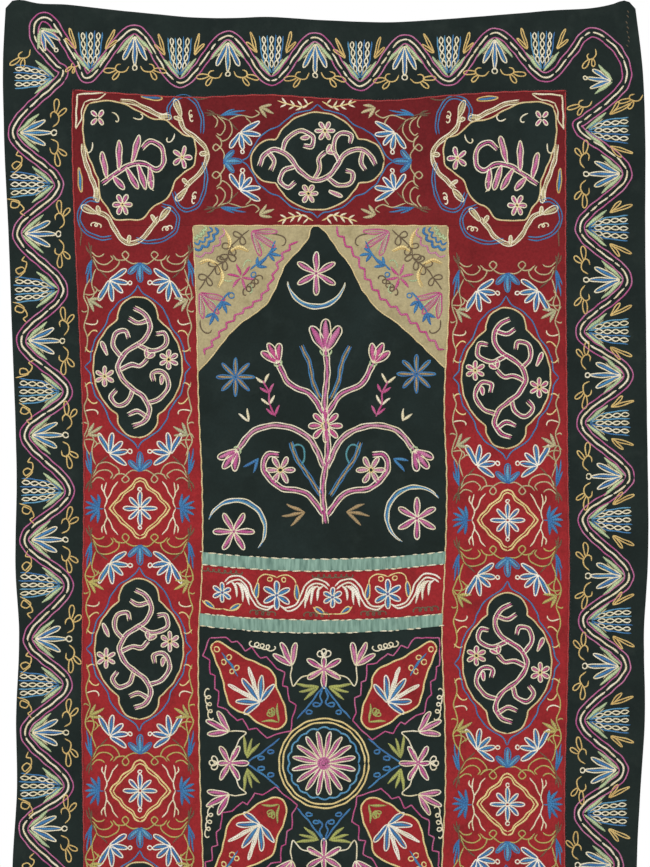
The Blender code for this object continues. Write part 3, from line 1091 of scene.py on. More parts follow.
def thread_rows(item, lift):
    """One thread's section at each step: left edge, crest, right edge and root.

    The path strays by a slow sine of under half a millimetre, the width swells by a tenth, and both
    ends taper; a leafy thread's width is a half sine over its length. Gives each corner's plan
    place, its distance before the cloth's middle, its UV, and the number of steps.
    """
    path, travelled = resampled(item.points)
    first, second = rng.uniform(0, TAU, 2)
    stray = np.column_stack([np.sin(travelled / 4.1 + first), np.sin(travelled / 5.3 + second)])
    path = path + WANDER * stray
    share = travelled / max(travelled[-1], 1e-9)
    if item.leafy:
        taper = 0.22 + 0.78 * np.sin(math.pi * np.clip(share, 0, 1)) ** 0.8
    else:
        taper = np.clip(np.minimum(travelled, travelled[-1] - travelled) / 3.0 + 0.4, 0, 1)
    half = 0.5 * item.width * taper * (1 + 0.1 * np.sin(travelled / 2.9 + second))
    sideways = normals(path) * half[:, None]
    plan = np.stack([path + sideways, path, path - sideways, path], axis=1)
    rise = np.clip(item.width / LINE, 0.75, 1.25) * THREAD_HEIGHT * taper
    height = np.stack([0 * half + 0.15, rise, 0 * half + 0.15, 0 * half - THREAD_ROOT], axis=1) + lift
    along = np.repeat(travelled[:, None], 4, axis=1) / STITCH_LENGTH
    side = np.tile([0.0, 0.5, 1.0, 0.5], (len(path), 1))
    return plan.reshape(-1, 2), height.ravel(), np.stack([along, side], -1).reshape(-1, 2), len(path)


def thread_piece(name, strokes, material):
    """All the threads of one colour in one region, as closed four-sided tubes on the cloth."""
    parts = [thread_rows(item, lift) for item, lift in strokes]
    plan = np.vstack([part[0] for part in parts])
    height = np.concatenate([part[1] for part in parts])
    coordinates = np.vstack([part[2] for part in parts])
    counts = np.array([part[3] for part in parts])
    last = np.cumsum(counts) - 1
    first = last - counts + 1
    steps = np.setdiff1d(np.arange(counts.sum()), last)
    faces = []
    for k in range(4):
        near, far = 4 * steps + k, 4 * steps + (k + 1) % 4
        faces.append(np.column_stack([near, near + 4, far + 4, far]))
    faces.append(4 * first[:, None] + np.arange(4))
    faces.append(4 * last[:, None] + np.arange(4)[::-1])
    vertices = in_place(plan[:, 0], plan[:, 1], surface(plan[:, 0], plan[:, 1]) - height)
    piece = mesh_piece(name, vertices, np.vstack(faces), material, coordinates=coordinates)
    return piece


def floss(name, shade, faded):
    """Stitched floss in one dye lot that has faded unevenly.

    The colour drifts to the faded shade in patches of 30 mm, and painted shade darkens it between the 4 mm
    stitches.
    The bump is a chain of slanting stitches along each thread.
    """
    made, tree = new_material(name)
    coordinates = node(tree, "TexCoord")
    place = coordinates["Object"]
    drift = mottled(tree, place, 30, 3, 0.38, 0.66)
    base = blended(tree, drift, colour(shade), colour(faded))
    along = node(tree, "SeparateXYZ", {"Vector": coordinates["UV"]})
    off_middle = node(tree, "Math", {0: along["Y"], 1: 0.5}, operation="SUBTRACT")[0]
    off_middle = node(tree, "Math", {0: off_middle}, operation="ABSOLUTE")[0]
    slant = node(tree, "Math", {0: off_middle, 1: 0.9, 2: along["X"]}, operation="MULTIPLY_ADD")[0]
    turn = node(tree, "Math", {0: slant, 1: TAU / 2}, operation="MULTIPLY")[0]
    swell = node(tree, "Math", {0: turn}, operation="SINE")[0]
    swell = node(tree, "Math", {0: swell}, operation="ABSOLUTE")[0]
    # Painted shade: the colour darkens in the gaps between stitches, where the swell is low.
    gap = {"Value": swell, "From Min": 0.0, "From Max": 0.5, "To Min": 0.4}
    painted_gap_shade = {"Color": base, "Value": node(tree, "MapRange", gap)["Result"]}
    base = node(tree, "HueSaturation", painted_gap_shade)["Color"]
    bump = node(tree, "Bump", {"Height": swell, "Strength": 0.6, "Distance": 0.5 * MM})["Normal"]
    surfaced(tree, base, bump, 0.62, 0.15)
    return made


FLOSS = {
    "pink": ("#b24883", "#c67ba0"),
    "magenta": ("#b83d7a", "#c26790"),
    "rose": ("#b86c8f", "#cb8fa7"),
    "cream": ("#efe6cc", "#e0d3aa"),
    "white": ("#f3eee0", "#e5dcc2"),
    "yellow": ("#e8d291", "#dcc27f"),
    "gold": ("#dcbd76", "#c6a45f"),
    "blue": ("#2f679f", "#3a80b0"),
    "sky": ("#4489b6", "#64a0bc"),
    "teal": ("#3e8796", "#58969a"),
    "green": ("#b9c998", "#9fb48a"),
    "olive": ("#a9ad5a", "#999c54"),
    "moss": ("#bbae5c", "#a89f5c"),
    "sage": ("#c3b68a", "#ab9f74"),
    "grey_leaf": ("#abac86", "#b9ad84"),
    "brown": ("#735236", "#5f4c33"),
    "umber": ("#6a583e", "#5f4d36"),
    "tan": ("#ad9064", "#99835c"),
    "cord": ("#e0cb97", "#cfb880"),
    "crimson": ("#b0302f", "#9a2527"),
    "dark": ("#141a1a", "#2a2422"),
}


# The drop, in millimetres, past which the band's grey greens turn yellower.
GREENER_FROM = 900

# Motifs. Each grows from its root along +across, and plan places are millimetres.


def outlined(length, width, core, edging, root=0.0):
    """A petal filled with one leafy stitch line, with a loop of edging close round it."""
    middle = np.column_stack([np.linspace(root + 0.04 * length, root + 0.96 * length, 9), np.zeros(9)])
    filling = stroke(middle, core, width * 0.66, leafy=True)
    return [stroke(petal(length, width, root), edging, THIN), filling]


def open_petal(length, width, shade, across=0.0, drop=0.0, turn=0.0):
    """A petal's loop alone, with nothing inside it, in its place."""
    return set_down([stroke(petal(length, width), shade, THIN)], across, drop, turn)


def blades(rows, shade, width=4.6):
    """Solid leaves from one root: each row is its angle and length."""
    found = []
    for angle, length in rows:
        found.append(stroke(curl(angle - 6, length, 12), shade, width, leafy=True))
    return found


def flower(count, length, width, core, edging, root=2.0, turn=0.0, heart=None):
    """Outlined petals at even angles round a heart."""
    found = []
    for k in range(count):
        found += set_down(outlined(length, width, core, edging, root), turn=turn + 360 * k / count)
    if heart is not None:
        found.append(stroke(ring(max(1.6, root)), heart, THIN))
    return found


def fan(petals, core, edging):
    """Outlined petals from one root: each row is its angle, length and width."""
    found = []
    for angle, length, width in petals:
        found += set_down(outlined(length, width, core, edging), turn=angle)
    return found


# The border: three wavy lines, with a bundle in each inward bend and a spray in each outward one.

# How far the lines' bends stay from the border's inner seam, and from each of its outer edges.
INWARD_GAP = 23.0
OUTWARD_GAP = {"left": 15.0, "right": 31.0, "top": 30.0, "bottom": 26.0}

# The distance between two of the lines, and the turn that points a motif outwards on each side.
MEANDER_APART = 7.8
SIDE_TURN = {"left": 180.0, "top": -90.0, "right": 0.0, "bottom": 90.0}

# Each side's bends: their drops on the long sides, and their places across on the short ones.
INWARD = {
    "left": (283, 464, 639, 810, 972, 1144, 1318, 1490, 1662, 1838),
    "top": (-396, -243, -85, 67, 220, 381),
    "right": (190, 358, 536, 693, 860, 1033, 1204, 1364, 1534, 1704, 1872),
    "bottom": (-384, -236, -80, 80, 240, 396),
}
OUTWARD = {
    "left": (194, 368, 552, 714, 894, 1065, 1226, 1391, 1576, 1748, 1936),
    "top": (-320, -160, -10, 144, 299),
    "right": (265, 447, 611, 785, 956, 1111, 1290, 1453, 1623, 1790, 1958),
    "bottom": (-312, -158, 0, 160, 318),
}

# The lines' places round the corners.
TOP_LEFT_BEND = (
    (-447, 100),
    (-456, 78),
    (-474, 58),
    (-490, 36),
    (-493, 13),
    (-482, -3),
    (-465, 0),
    (-449, 23),
    (-419, 72),
)
TOP_RIGHT_BEND = ((428, 60), (451, 29), (474, 22), (509, 50), (525, 83), (521, 112), (491, 143), (457, 169))

# Both bottom bends are alike, about a middle 8 mm to the right of the hanging's own.
BOTTOM_RIGHT_BEND = (
    (452, 2031),
    (482, 2073),
    (500, 2104),
    (501, 2133),
    (486, 2150),
    (463, 2140),
    (432, 2092),
)
BOTTOM_LEFT_BEND = tuple((16 - across, drop) for across, drop in BOTTOM_RIGHT_BEND[::-1])

# The size of motifs on the two short sides, where there is less room.
SHORT_SIDE_FIT = 0.93

# Eight small darning stitches at the worn top right corner.
DARNING_ACROSS = 526.0
DARNING_DROPS = (-16, 44)

# The corners' own motifs: places, turns in degrees, and sizes.
CORNER_SPRAYS = (
    (-486, 10, 54, 0.74),
    (508, 106, 187, 0.76),
    (490, 2136, 228, 0.86),
    (-474, 2136, -48, 0.86),
)
CORNER_BUNDLES = ((-449, 100, 182), (452, 2029, 0), (-436, 2029, 180))
CORNER_SCROLLS = (
    (-516, 64, 60, 0.9),
    (-427, 80, 62, 0.6),
    (462, 66, 40, 0.8),
    (446, 146, 80, 0.9),
    (533, 136, 80, 0.9),
)


def bend_place(side, along, outwards):
    """Where the meander turns: a set distance from the border's inner seam or its outer edge."""
    gap = OUTWARD_GAP[side] if outwards else INWARD_GAP
    if side == "left":
        seam = down_seam("outer_left")(along) + gap if outwards else down_seam("band_left")(along) - gap
        return float(seam), float(along)
    if side == "right":
        seam = down_seam("outer_right")(along) - gap if outwards else down_seam("band_right")(along) + gap
        return float(seam), float(along)
    if side == "top":
        seam = edge(TOP_EDGE)(along) + gap if outwards else edge(BAND_TOP)(along) - gap
        return float(along), float(seam)
    seam = edge(BOTTOM_EDGE)(along) - gap if outwards else LEVELS["band_bottom"][0] + gap
    return float(along), float(seam)


def bends(side):
    """All of a side's turning places in order along it."""
    places = [(along, True) for along in OUTWARD[side]] + [(along, False) for along in INWARD[side]]
    return [bend_place(side, along, outwards) for along, outwards in sorted(places)]


def meander():
    """The closed wavy line through every bend, clockwise from the top left corner.

    A cream line runs between two pink ones; it has lost stitches along the top and right corner.
    """
    turns = [
        *TOP_LEFT_BEND,
        *bends("top"),
        *TOP_RIGHT_BEND,
        *bends("right"),
        *BOTTOM_RIGHT_BEND,
        *bends("bottom")[::-1],
        *BOTTOM_LEFT_BEND,
        *bends("left")[::-1],
    ]
    line = spline(*turns, closed=True, steps=16)
    found = [stroke(aside(line, MEANDER_APART * k), "pink", THIN) for k in (-1, 1)]
    worn_end = 16 * (len(TOP_LEFT_BEND) + len(bends("top")) + len(TOP_RIGHT_BEND) + 4)
    found += worn([stroke(line[: worn_end + 1], "cream", LINE)], 34, 3)
    return found + worn([stroke(line[worn_end:], "cream", LINE + 0.3)], 70, 2)


def guard_leaves(apex, reach, half_width):
    """A V of two pale green leaves that opens away from its apex, each with a thin row inside."""
    found = []
    for side in (-1, 1):
        elbow = (apex + 0.44 * reach, side * 0.48 * half_width)
        tip = (apex + reach, side * half_width)
        found.append(sewn("green", 6.6, (apex, side * 1.5), elbow, tip, leafy=True))
        elbow = (apex + 0.5 * reach + 4, side * 0.42 * half_width)
        tip = (apex + 0.84 * reach, side * 0.66 * half_width)
        found.append(sewn("sage", THIN, (apex + 9, side * 2.5), elbow, tip))
    return found


def bundle():
    """Blue lines and cream chains that rise from a pale green V."""
    found = guard_leaves(10, 36, 31)
    for lateral in (-20, -7, 7, 20):
        tip = (83 + lateral % 4, lateral * 1.1)
        line = ((15, lateral * 0.12), (28, lateral * 0.55), (46, lateral * 0.88), tip)
        found.append(sewn("blue" if lateral > 0 else "sky", THIN, *line))
    for lateral in (-13.5, 0, 13.5):
        line = spline((25, lateral * 0.48), (44, lateral * 0.86), (83, lateral * 1.1))
        for phase in (0, math.pi):
            found.append(stroke(wave(line, 2, 3.4, phase), "cream", THIN))
    return found


def border_spray():
    """A pale green V that holds three blue petals edged with cream; the middle one ends in a ring."""
    found = guard_leaves(9, 36, 33)
    found += set_down(fan([(-26, 48, 8), (26, 48, 8), (0, 54, 7)], "blue", "cream"), across=13)
    found.append(stroke(ring(4.4, across=71), "cream", THIN))
    return found


def gold_squiggle():
    """A looped S of about 22 by 30 mm, centred on its own middle."""
    upper = ((11, -15), (2, -11), (-5, -5), (0, 1), (8, -2))
    lower = ((5, -9), (-5, -3), (-8, 6), (-2, 10), (-7, 16))
    return [sewn("gold", THIN, *upper, *lower)]


def gold_scroll():
    """A hooked stem with two leaf loops, about 25 by 45 mm, centred on its own middle."""
    stem = sewn("gold", THIN, (-4, -23), (5, -16), (6, -6), (0, 3), (-7, 0), (-8, -8))
    return [stem] + open_petal(24, 8, "gold", 1, 1, turn=86) + open_petal(18, 7, "gold", 5, -4, turn=42)


def bar_marks():
    """Two narrow gold leaves of unequal length that open from one point."""
    return open_petal(40, 4.6, "gold", turn=-9) + open_petal(27, 4.6, "gold", turn=19)


def build_border():
    """The border's threads, side by side along each of its four edges."""
    lay("border", meander())
    for side, turn in SIDE_TURN.items():
        fit = 1.0 if side in ("left", "right") else SHORT_SIDE_FIT
        for along in INWARD[side]:
            place = bend_place(side, along, False)
            lay("border", set_down(bundle(), *place, turn=turn, size=fit))
            for way in (-1, 1):
                if side == "left":
                    lean = float(rng.uniform(-20, 20))
                    mark = set_down(gold_squiggle(), 72, way * 38, turn=lean, size=1.2, mirror=way)
                else:
                    lean = way * float(rng.uniform(22, 38))
                    mark = set_down(bar_marks(), 52, way * 27, turn=lean, mirror=way)
                lay("border", set_down(mark, *place, turn=turn, size=fit))
        for along in OUTWARD[side]:
            place = bend_place(side, along, True)
            lay("border", set_down(border_spray(), *place, turn=turn + 180, size=fit))
            for way in (-1, 1):
                lean = way * float(rng.uniform(-12, 12))
                scroll = set_down(gold_scroll(), 73, way * 33, turn=lean, mirror=way)
                lay("border", set_down(scroll, *place, turn=turn + 180, size=fit))
    for across, drop, turn, size in CORNER_SPRAYS:
        lay("border", set_down(border_spray(), across, drop, turn=turn, size=size))
    for across, drop, turn in CORNER_BUNDLES:
        lay("border", set_down(bundle(), across, drop, turn=turn, size=SHORT_SIDE_FIT))
    for across, drop, turn, size in CORNER_SCROLLS:
        lay("border", set_down(gold_scroll(), across, drop, turn=turn, size=size))
    for drop in np.linspace(*DARNING_DROPS, 8):
        start = np.array([DARNING_ACROSS, drop]) + rng.uniform(-1.5, 1.5, 2)
        lay("border", [stroke([start, start + (2, 1.5), start + (3, 4)], "umber", 1.8)])


# The red band.

# The side of the square that a corner's threads are drawn on.
CORNER_UNIT = 219.0

# Half the width and height of the pointed outlines round the upright and the broad grounds.
SIDE_OUTLINE = (91, 141)
TOP_OUTLINE = (131, 98)

# One quarter of a pointed outline from a long tip, as shares of its half width and half length.
POINTED_SHARES = (
    (0, 1.0),
    (0.1, 0.9),
    (0.38, 0.78),
    (0.55, 0.63),
    (0.62, 0.5),
    (0.8, 0.34),
    (0.88, 0.17),
    (0.9, 0.08),
)

# How far the half lozenges beside a broad ground stand from its middle.
END_UNIT_APART = 222.0

# How far the middle of a half lozenge's needlework lies from the lozenge's own.
HALF_MIDDLE = 60

# The rows of a corner's flowing strips: how far each lies aside, and its shade.
STRIP_ROWS = ((0.0, "cream"), (3.0, "sage"), (6.0, "cream"))


def pointed_outline(half_width, half_height):
    """The blue line round a ground: lobes that flare into four sharp tips."""
    long_half, short_half = max(half_width, half_height), min(half_width, half_height)
    places = [(a * short_half, b * long_half) for a, b in POINTED_SHARES] + [(short_half, 0)]
    quarter = spline(*places)
    quarter = quarter if half_height > half_width else quarter[:, ::-1]
    return four_ways([stroke(quarter, "blue", THIN)])


def blossom_scroll(core, edging):
    """A swinging stem with hooked shoots, two blossoms and single leaves, to fill a lobed ground."""
    first_half = ((-102, 9), (-94, -10), (-76, -20), (-52, -10), (-28, 20), (0, 34))
    second_half = ((26, 20), (46, -10), (70, -21), (91, -12), (102, 7))
    found = broad_stem(spline(*first_half, *second_half), core, edging, 3.6, LINE)
    shoots = (
        ((-62, -15), (-54, -38), (-31, -53), (-9, -44), (-10, -26), (-25, -27)),
        ((-38, 9), (-58, 16), (-66, 34), (-52, 46), (-39, 37)),
        ((-6, 33), (4, 12), (2, -4), (14, -16)),
        ((16, 27), (36, 42), (58, 38), (62, 21), (49, 16)),
        ((39, 2), (28, -24), (38, -48), (58, -46), (57, -31)),
        ((-87, -17), (-76, 0), (-82, 17)),
        ((81, -19), (76, 0), (84, 16)),
    )
    for shoot in shoots:
        found += broad_stem(spline(*shoot), core, edging, 3.2, THIN)
    for place in ((-16, 57), (13, -53)):
        found += set_down(flower(6, 14, 6.5, core, edging, root=3, heart="yellow"), *place)
    leaves = ((-30, -40, -8, 16), (20, 52, 24, 26), (16, -16, -62, 15), (16, -16, 8, 15))
    for across, drop, turn, length in leaves:
        found += set_down(outlined(length, 6.5, core, edging), across, drop, turn=turn)
    return found


def side_ground(core, edging, mirror):
    """Everything on and round one upright lobed ground."""
    found = set_down(blossom_scroll(core, edging), turn=-90, mirror=mirror)
    return [("inlay", found), ("band", pointed_outline(*SIDE_OUTLINE)), ("band", four_ways(ground_vines()))]


def ground_vines():
    """In one quarter beside a ground: the hooked vine along the band's edge, and a solid leaf sprig."""
    found = [sewn("sage", THIN, (82, 152), (93, 126), (85, 98), (92, 72), (86, 46), (91, 26))]
    hooks = (
        ((92, 126), 196, 28, -1, "sage"),
        ((86, 98), 320, 12, 1, "sage"),
        ((91, 76), 204, 28, -1, "cream"),
        ((87, 52), 118, 24, 1, "yellow"),
        ((91, 34), 236, 18, -1, "yellow"),
    )
    for start, heading, length, way, shade in hooks:
        found.append(stroke(curl(heading, length, way * 40, way * 110, start=start), shade, THIN))
    return found + set_down(blades([(-36, 24), (-2, 29), (32, 23)], "grey_leaf", 6.0), 86, 116, turn=212)


def band_quarter():
    """In one quarter round a lozenge: palmette, spray, hooks and stem. The lozenge's middle is 0."""
    palmette = [(61, 40, 8), (97, 36, 8), (137, 30, 8), (172, 31, 8), (214, 34, 8)]
    found = set_down(fan(palmette, "blue", "white"), 52, 94)
    found.append(stroke(ring(3.4, across=17, drop=98), "white", THIN))
    found.append(sewn("brown", THIN, (56, 90), (68, 78), (79, 65), (84, 52), (88, 28)))
    for way in (-1, 1):
        found.append(sewn("brown", LINE, (84, 50), (87 + way * 3, 42), (88 + way * 5, 33), leafy=True))
    for end in ((92, 104), (84, 98), (94, 84)):
        middle = ((83 + end[0]) / 2 + 1, (58 + end[1]) / 2)
        found.append(sewn("blue", LINE + 0.6, (83, 58), middle, end, leafy=True))
    hooks = (
        ((80, 58), (72, 75), (56, 79), (41, 72), (36, 61), (43, 57)),
        ((82, 52), (71, 64), (57, 66), (47, 58), (51, 51)),
        ((84, 44), (75, 52), (66, 52), (61, 48)),
        ((76, 74), (83, 96), (79, 116), (86, 128), (93, 121)),
        ((80, 104), (70, 112), (62, 108)),
    )
    return found + [sewn("sage", THIN, *hook) for hook in hooks]


def bracket():
    """The curled bracket on the axis beyond a lozenge: a line with one loop at each side."""
    half = ((3, 64), (13, 65), (24, 58), (31, 50), (25, 44), (19, 50), (27, 59), (39, 58), (47, 50))
    return both_sides([sewn("sage", THIN, *half)])


def small_blue_flower():
    """The small flower on the axis: a long middle loop between two bent side petals."""
    return fan([(-47, 27, 8), (0, 33, 10), (47, 27, 8)], "sky", "blue")


def lozenge():
    """The double waved lozenge round an eight-petal star, with antlers and half daisies beside it."""
    quarter = spline((0, 53), (8, 49), (14, 39), (23, 32), (32, 25), (38, 16), (46, 9), (52, 0))
    half = np.vstack([quarter, quarter[-2::-1] * (1, -1)])
    whole = np.vstack([half, half[-2::-1] * (-1, 1)])
    found = [stroke(whole, "yellow", LINE), stroke(whole * 0.89, "yellow", THIN)]
    antlers = (
        ((61, 0), (57, 14), (61, 28), (58, 45)),
        ((58, 13), (50, 26), (46, 36), (38, 46)),
        ((60, 26), (66, 34), (65, 42)),
    )
    found += four_ways([sewn("cream", THIN, *antler) for antler in antlers])
    half_daisy = [(-84, 25), (-56, 28), (-27, 26), (0, 25), (27, 26), (56, 28), (84, 25)]
    for way in (-1, 1):
        daisy = set_down(blades(half_daisy, "blue", 6.0), 70, 0)
        daisy.append(stroke([(62, 0), (66, 0.5), (74, 0)], "blue", THIN))
        found += spread(daisy, way, 1)
    found += flower(4, 27, 6.5, "blue", "white", root=2)
    found += flower(4, 24, 6, "blue", "white", root=2, turn=45)
    for drop in (-33, 33):
        found.append(stroke(ring(3.0, drop=drop), "white", THIN))
    return found


def lozenge_half():
    """The half below a lozenge's middle, to be mirrored for the other: two quarters and the axis."""
    return both_sides(band_quarter()) + set_down(small_blue_flower(), 0, 64, turn=90) + bracket()


def strip_line(*points):
    """A flowing strip of three close rows side by side: pale green between two cream ones."""
    line = spline(*points)
    return [stroke(aside(line, gap), shade, THIN) for gap, shade in STRIP_ROWS]


def corner_unit():
    """A band corner's threads, on a square of 219 mm that is even about its diagonal."""
    half = strip_line((88, 16), (112, 19), (140, 30), (164, 40), (178, 38))
    half += set_down(outlined(24, 9, "sage", "cream"), 158, 44, turn=4)
    middle = ((232, 78), (248, 94), (251, 112), (240, 134), (224, 148))
    half += strip_line((199, 40), (208, 62), *middle, (209, 162))
    leaves = (((200, 44), -112, 30), ((203, 50), 196, 16), ((211, 160), 136, 28), ((216, 154), 212, 16))
    for place, turn, length in leaves:
        half += set_down(outlined(length, 0.34 * length, "sage", "cream"), *place, turn=turn)
    half += set_down(outlined(15, 6, "sage", "cream"), 250, 104, turn=180)
    scrolls = (
        (5.0, ((178, 50), (175, 30), (188, 14), (210, 9), (230, 21), (242, 48), (241, 72))),
        (-5.0, ((184, 166), (192, 187), (208, 197), (229, 192), (243, 172), (249, 142), (244, 116))),
    )
    for apart, points in scrolls:
        scroll = spline(*points)
        half += [stroke(scroll, "blue", THIN), stroke(aside(scroll, apart), "blue", THIN)]
    half += set_down(outlined(40, 7, "blue", "gold"), 126, 12, turn=5)
    for place, turn in (((220, 36), 80), ((228, 168), 100)):
        half += set_down([stroke(loops([(0, 0), (14, 0)], 2, 3.0), "cream", THIN)], *place, turn=turn)
    half.append(sewn("cream", LINE, (8, 9), (34, 7), (64, 6)))
    half.append(sewn("cream", THIN, (64, 6), (48, 16), (34, 17), (21, 22)))
    half.append(sewn("brown", THIN, (212, 12), (232, 16), (252, 14)))
    return half + swapped(half)


def corner_filling(core, edging):
    """Flowers, hooks and a leafy branch for the dark shield of a band corner."""
    found = set_down(flower(6, 15, 7, core, edging, root=2.5, heart="yellow"), 92, 186)
    found += set_down(flower(5, 16, 7, core, edging, root=2.5, heart="yellow"), 202, 110)
    found += set_down(flower(4, 13, 6, core, edging, root=2), 46, 46, turn=45)
    stem = ((54, 152), (80, 136), (106, 122), (132, 120), (154, 130), (168, 118), (164, 94))
    found += broad_stem(spline(*stem, (144, 84), (128, 96)), core, edging, 3.6, LINE)
    leaves = (
        ((64, 144), -104, 44),
        ((86, 132), -90, 50),
        ((110, 120), -74, 48),
        ((74, 140), 44, 30),
        ((98, 126), 56, 42),
        ((120, 120), 70, 44),
        ((142, 124), 84, 38),
    )
    for place, turn, length in leaves:
        found += set_down(outlined(length, 10, core, edging), *place, turn=turn)
    hooks = (
        ((72, 38), 10, 1),
        ((112, 46), 30, -1),
        ((36, 86), 80, 1),
        ((150, 164), -150, 1),
        ((188, 72), 100, 1),
    )
    for start, heading, way in hooks:
        found.append(stroke(curl(heading, 28, way * 60, way * 200, start=start), edging, THIN))
    return found


def greener(motif, drop):
    """A motif as it is, or low on the hanging with its grey greens worked in a yellower green."""
    if drop < GREENER_FROM:
        return motif
    return [item._replace(shade="moss") if item.shade in ("sage", "grey_leaf") else item for item in motif]


def build_band():
    """The red band's threads: corners, the two end units, and the long rows at both sides."""
    outlines = inlay_outlines()
    for name, (across, drop, across_way, drop_way) in CORNERS.items():
        ways = across_way * CORNER_WIDTH / CORNER_UNIT, drop_way * CORNER_HEIGHT / CORNER_UNIT
        lay("inlay", [sewn_round(outlines[name], "cord", CORD)])
        lay("band", set_down(spread(corner_unit(), *ways), across, drop))
        lay("inlay", set_down(spread(corner_filling("pink", "cream"), *ways), across, drop))
    for name, (across, drop, half_width, half_height) in GROUNDS.items():
        lay("inlay", [sewn_round(outlines[name], "cord", CORD)])
        if half_width > half_height:
            lay("inlay", set_down(blossom_scroll("rose", "cream"), across, drop, size=0.98))
            lay("band", set_down(pointed_outline(*TOP_OUTLINE), across, drop))
            lay("band", set_down(four_ways(end_vines()), across, drop))
            for way in (-1, 1):
                turned = spread(swapped(lozenge_half()), -way * 0.95, 0.95)
                lay("band", set_down(turned, across + way * END_UNIT_APART, drop))
        else:
            side = -1 if across < 0 else 1
            shades = ("magenta", "cream") if across > 0 else ("rose", "cream")
            for region, motif in side_ground(*shades, mirror=side):
                lay(region, greener(set_down(motif, across, drop), drop))
    for side in ("left", "right"):
        rows = [GROUNDS[f"ground_{side}_{part}"] for part in ("upper", "middle", "lower")]
        pitch = (rows[2][1] - rows[0][1]) / 2
        across = float(np.mean([row[0] for row in rows])) + 2
        for k in range(4):
            drop = rows[0][1] + (k - 0.5) * pitch
            if 0 < k < 3:
                lay("band", set_down(lozenge(), across, drop))
            if k > 0:
                upper_half = set_down(spread(lozenge_half(), 1, -1), across, drop)
                lay("band", greener(upper_half, drop - HALF_MIDDLE))
            if k < 3:
                lay("band", greener(set_down(lozenge_half(), across, drop), drop + HALF_MIDDLE))


def end_vines():
    """In one quarter beside a broad ground: a solid leaf sprig and a leafy spray beside the tip."""
    found = set_down(blades([(-36, 22), (-2, 27), (32, 21)], "sage", 6.0), 100, 92, turn=204)
    spray = spline((8, 102), (24, 94), (44, 96), (68, 104))
    found.append(stroke(spray, "yellow", THIN))
    for at in (4, 9, 14, 19):
        found += set_down(blades([(-40, 13), (40, 13)], "cream", 3.6), *spray[at], turn=12)
    return found


# The niche. A spandrel's needlework is in millimetres from the panel's upper corner.

SPANDREL_CORNERS = ((-220, 354), (218, 354))
NICHE_STARS = ((-147, 614), (164, 609))
BOUQUET_FOOT = (8, 866)

# A crescent and the flower it holds: the flower's place, size and turn, and the crescent's place,
# with the angles of its two ends in degrees.
UPPER_CRESCENT = ((-8, 436), 35, 30, (-8, 443), 10, 172)
LOWER_CRESCENTS = (
    ((-150, 880), 34, 0, (-146, 876), 200, 400),
    ((165, 857), 34, 30, (163, 853), 118, 322),
)
CRESCENT_RADIUS = 50


def spandrel():
    """The crowded needlework of one pale spandrel."""
    found = []
    star = (83, 88)
    ray = stroke([(2, 0), (12, 0.6), (24, 0)], "magenta", 5.0, leafy=True)
    for turn in range(10, 370, 60):
        found += set_down([ray], *star, turn=turn)
    for turn in (40, 160, 280):
        found += set_down([stroke(curl(0, 24, 60, 120, start=(16, 0)), "green", THIN)], *star, turn=turn)
    for place, turn in (((101, 10), 38), ((12, 116), 52)):
        for lean, length in ((-38, 44), (-4, 48), (32, 44)):
            found += open_petal(length, 8, "magenta", *place, turn=turn + lean)
            middle = stroke([(4, 0), (18, 0.5), (length - 8, 0)], "rose", THIN)
            found += set_down([middle], *place, turn=turn + lean)
        for lean in (-20, 14, 32):
            found += set_down([stroke(curl(lean, 40, 10), "green", THIN)], *place, turn=turn)
    track = spline((96, 7), (65, 36), (58, 58), (38, 72), (10, 110))
    found.append(stroke(track, "umber", THIN))
    slopes = np.gradient(track, axis=0)
    for at in (3, 8, 13, 18, 23, 28):
        heading = math.degrees(math.atan2(slopes[at, 1], slopes[at, 0]))
        for way in (-1, 1):
            found += open_petal(15, 9, "umber", *track[at], turn=heading + way * 62)
    leaf_runs = (
        ((53, 5), (64, 24), (62, 42)),
        ((62, 44), (78, 36), (97, 43)),
        ((9, 64), (26, 58), (45, 67)),
        ((44, 69), (52, 86), (45, 107)),
    )
    for run in leaf_runs:
        line = spline(*run)
        found.append(stroke(line, "yellow", 5.6, leafy=True))
        found.append(stroke(aside(line, 3.0), "gold", THIN, leafy=True))
    for place, turn in (((110, 70), -40), ((130, 48), 10), ((50, 130), 70), ((36, 150), 110)):
        found += set_down(blades([(-44, 17), (0, 22), (44, 17)], "blue", 6.0), *place, turn=turn)
    found.append(sewn("blue", LINE, (98, 76), (112, 64), (128, 52), (142, 26)))
    found.append(sewn("blue", LINE, (62, 114), (50, 128), (38, 146), (32, 164)))
    found += [stroke(ring(4.5, 104, 84), "blue", THIN), stroke(ring(4.5, 66, 120), "blue", THIN)]
    found.append(stroke(loops([(118, 92), (92, 118)], 4, 4.8), "umber", THIN))
    found.append(stroke(curl(0, 40, 50, 150, start=(136, 14)), "umber", THIN))
    found.append(stroke(curl(90, 40, -50, -150, start=(12, 162)), "umber", THIN))
    angle = np.radians(np.linspace(4, 86, 80))
    scallops = np.abs(np.sin(np.linspace(0, 4 * math.pi, 80)))
    rows = ((18, "green", BOLD), (28, "blue", LINE), (38, "blue", BOLD), (50, "rose", LINE))
    for radius, shade, width in rows:
        found.append(stroke(round_line(radius + 5.5 * scallops, angle), shade, width))
    return found


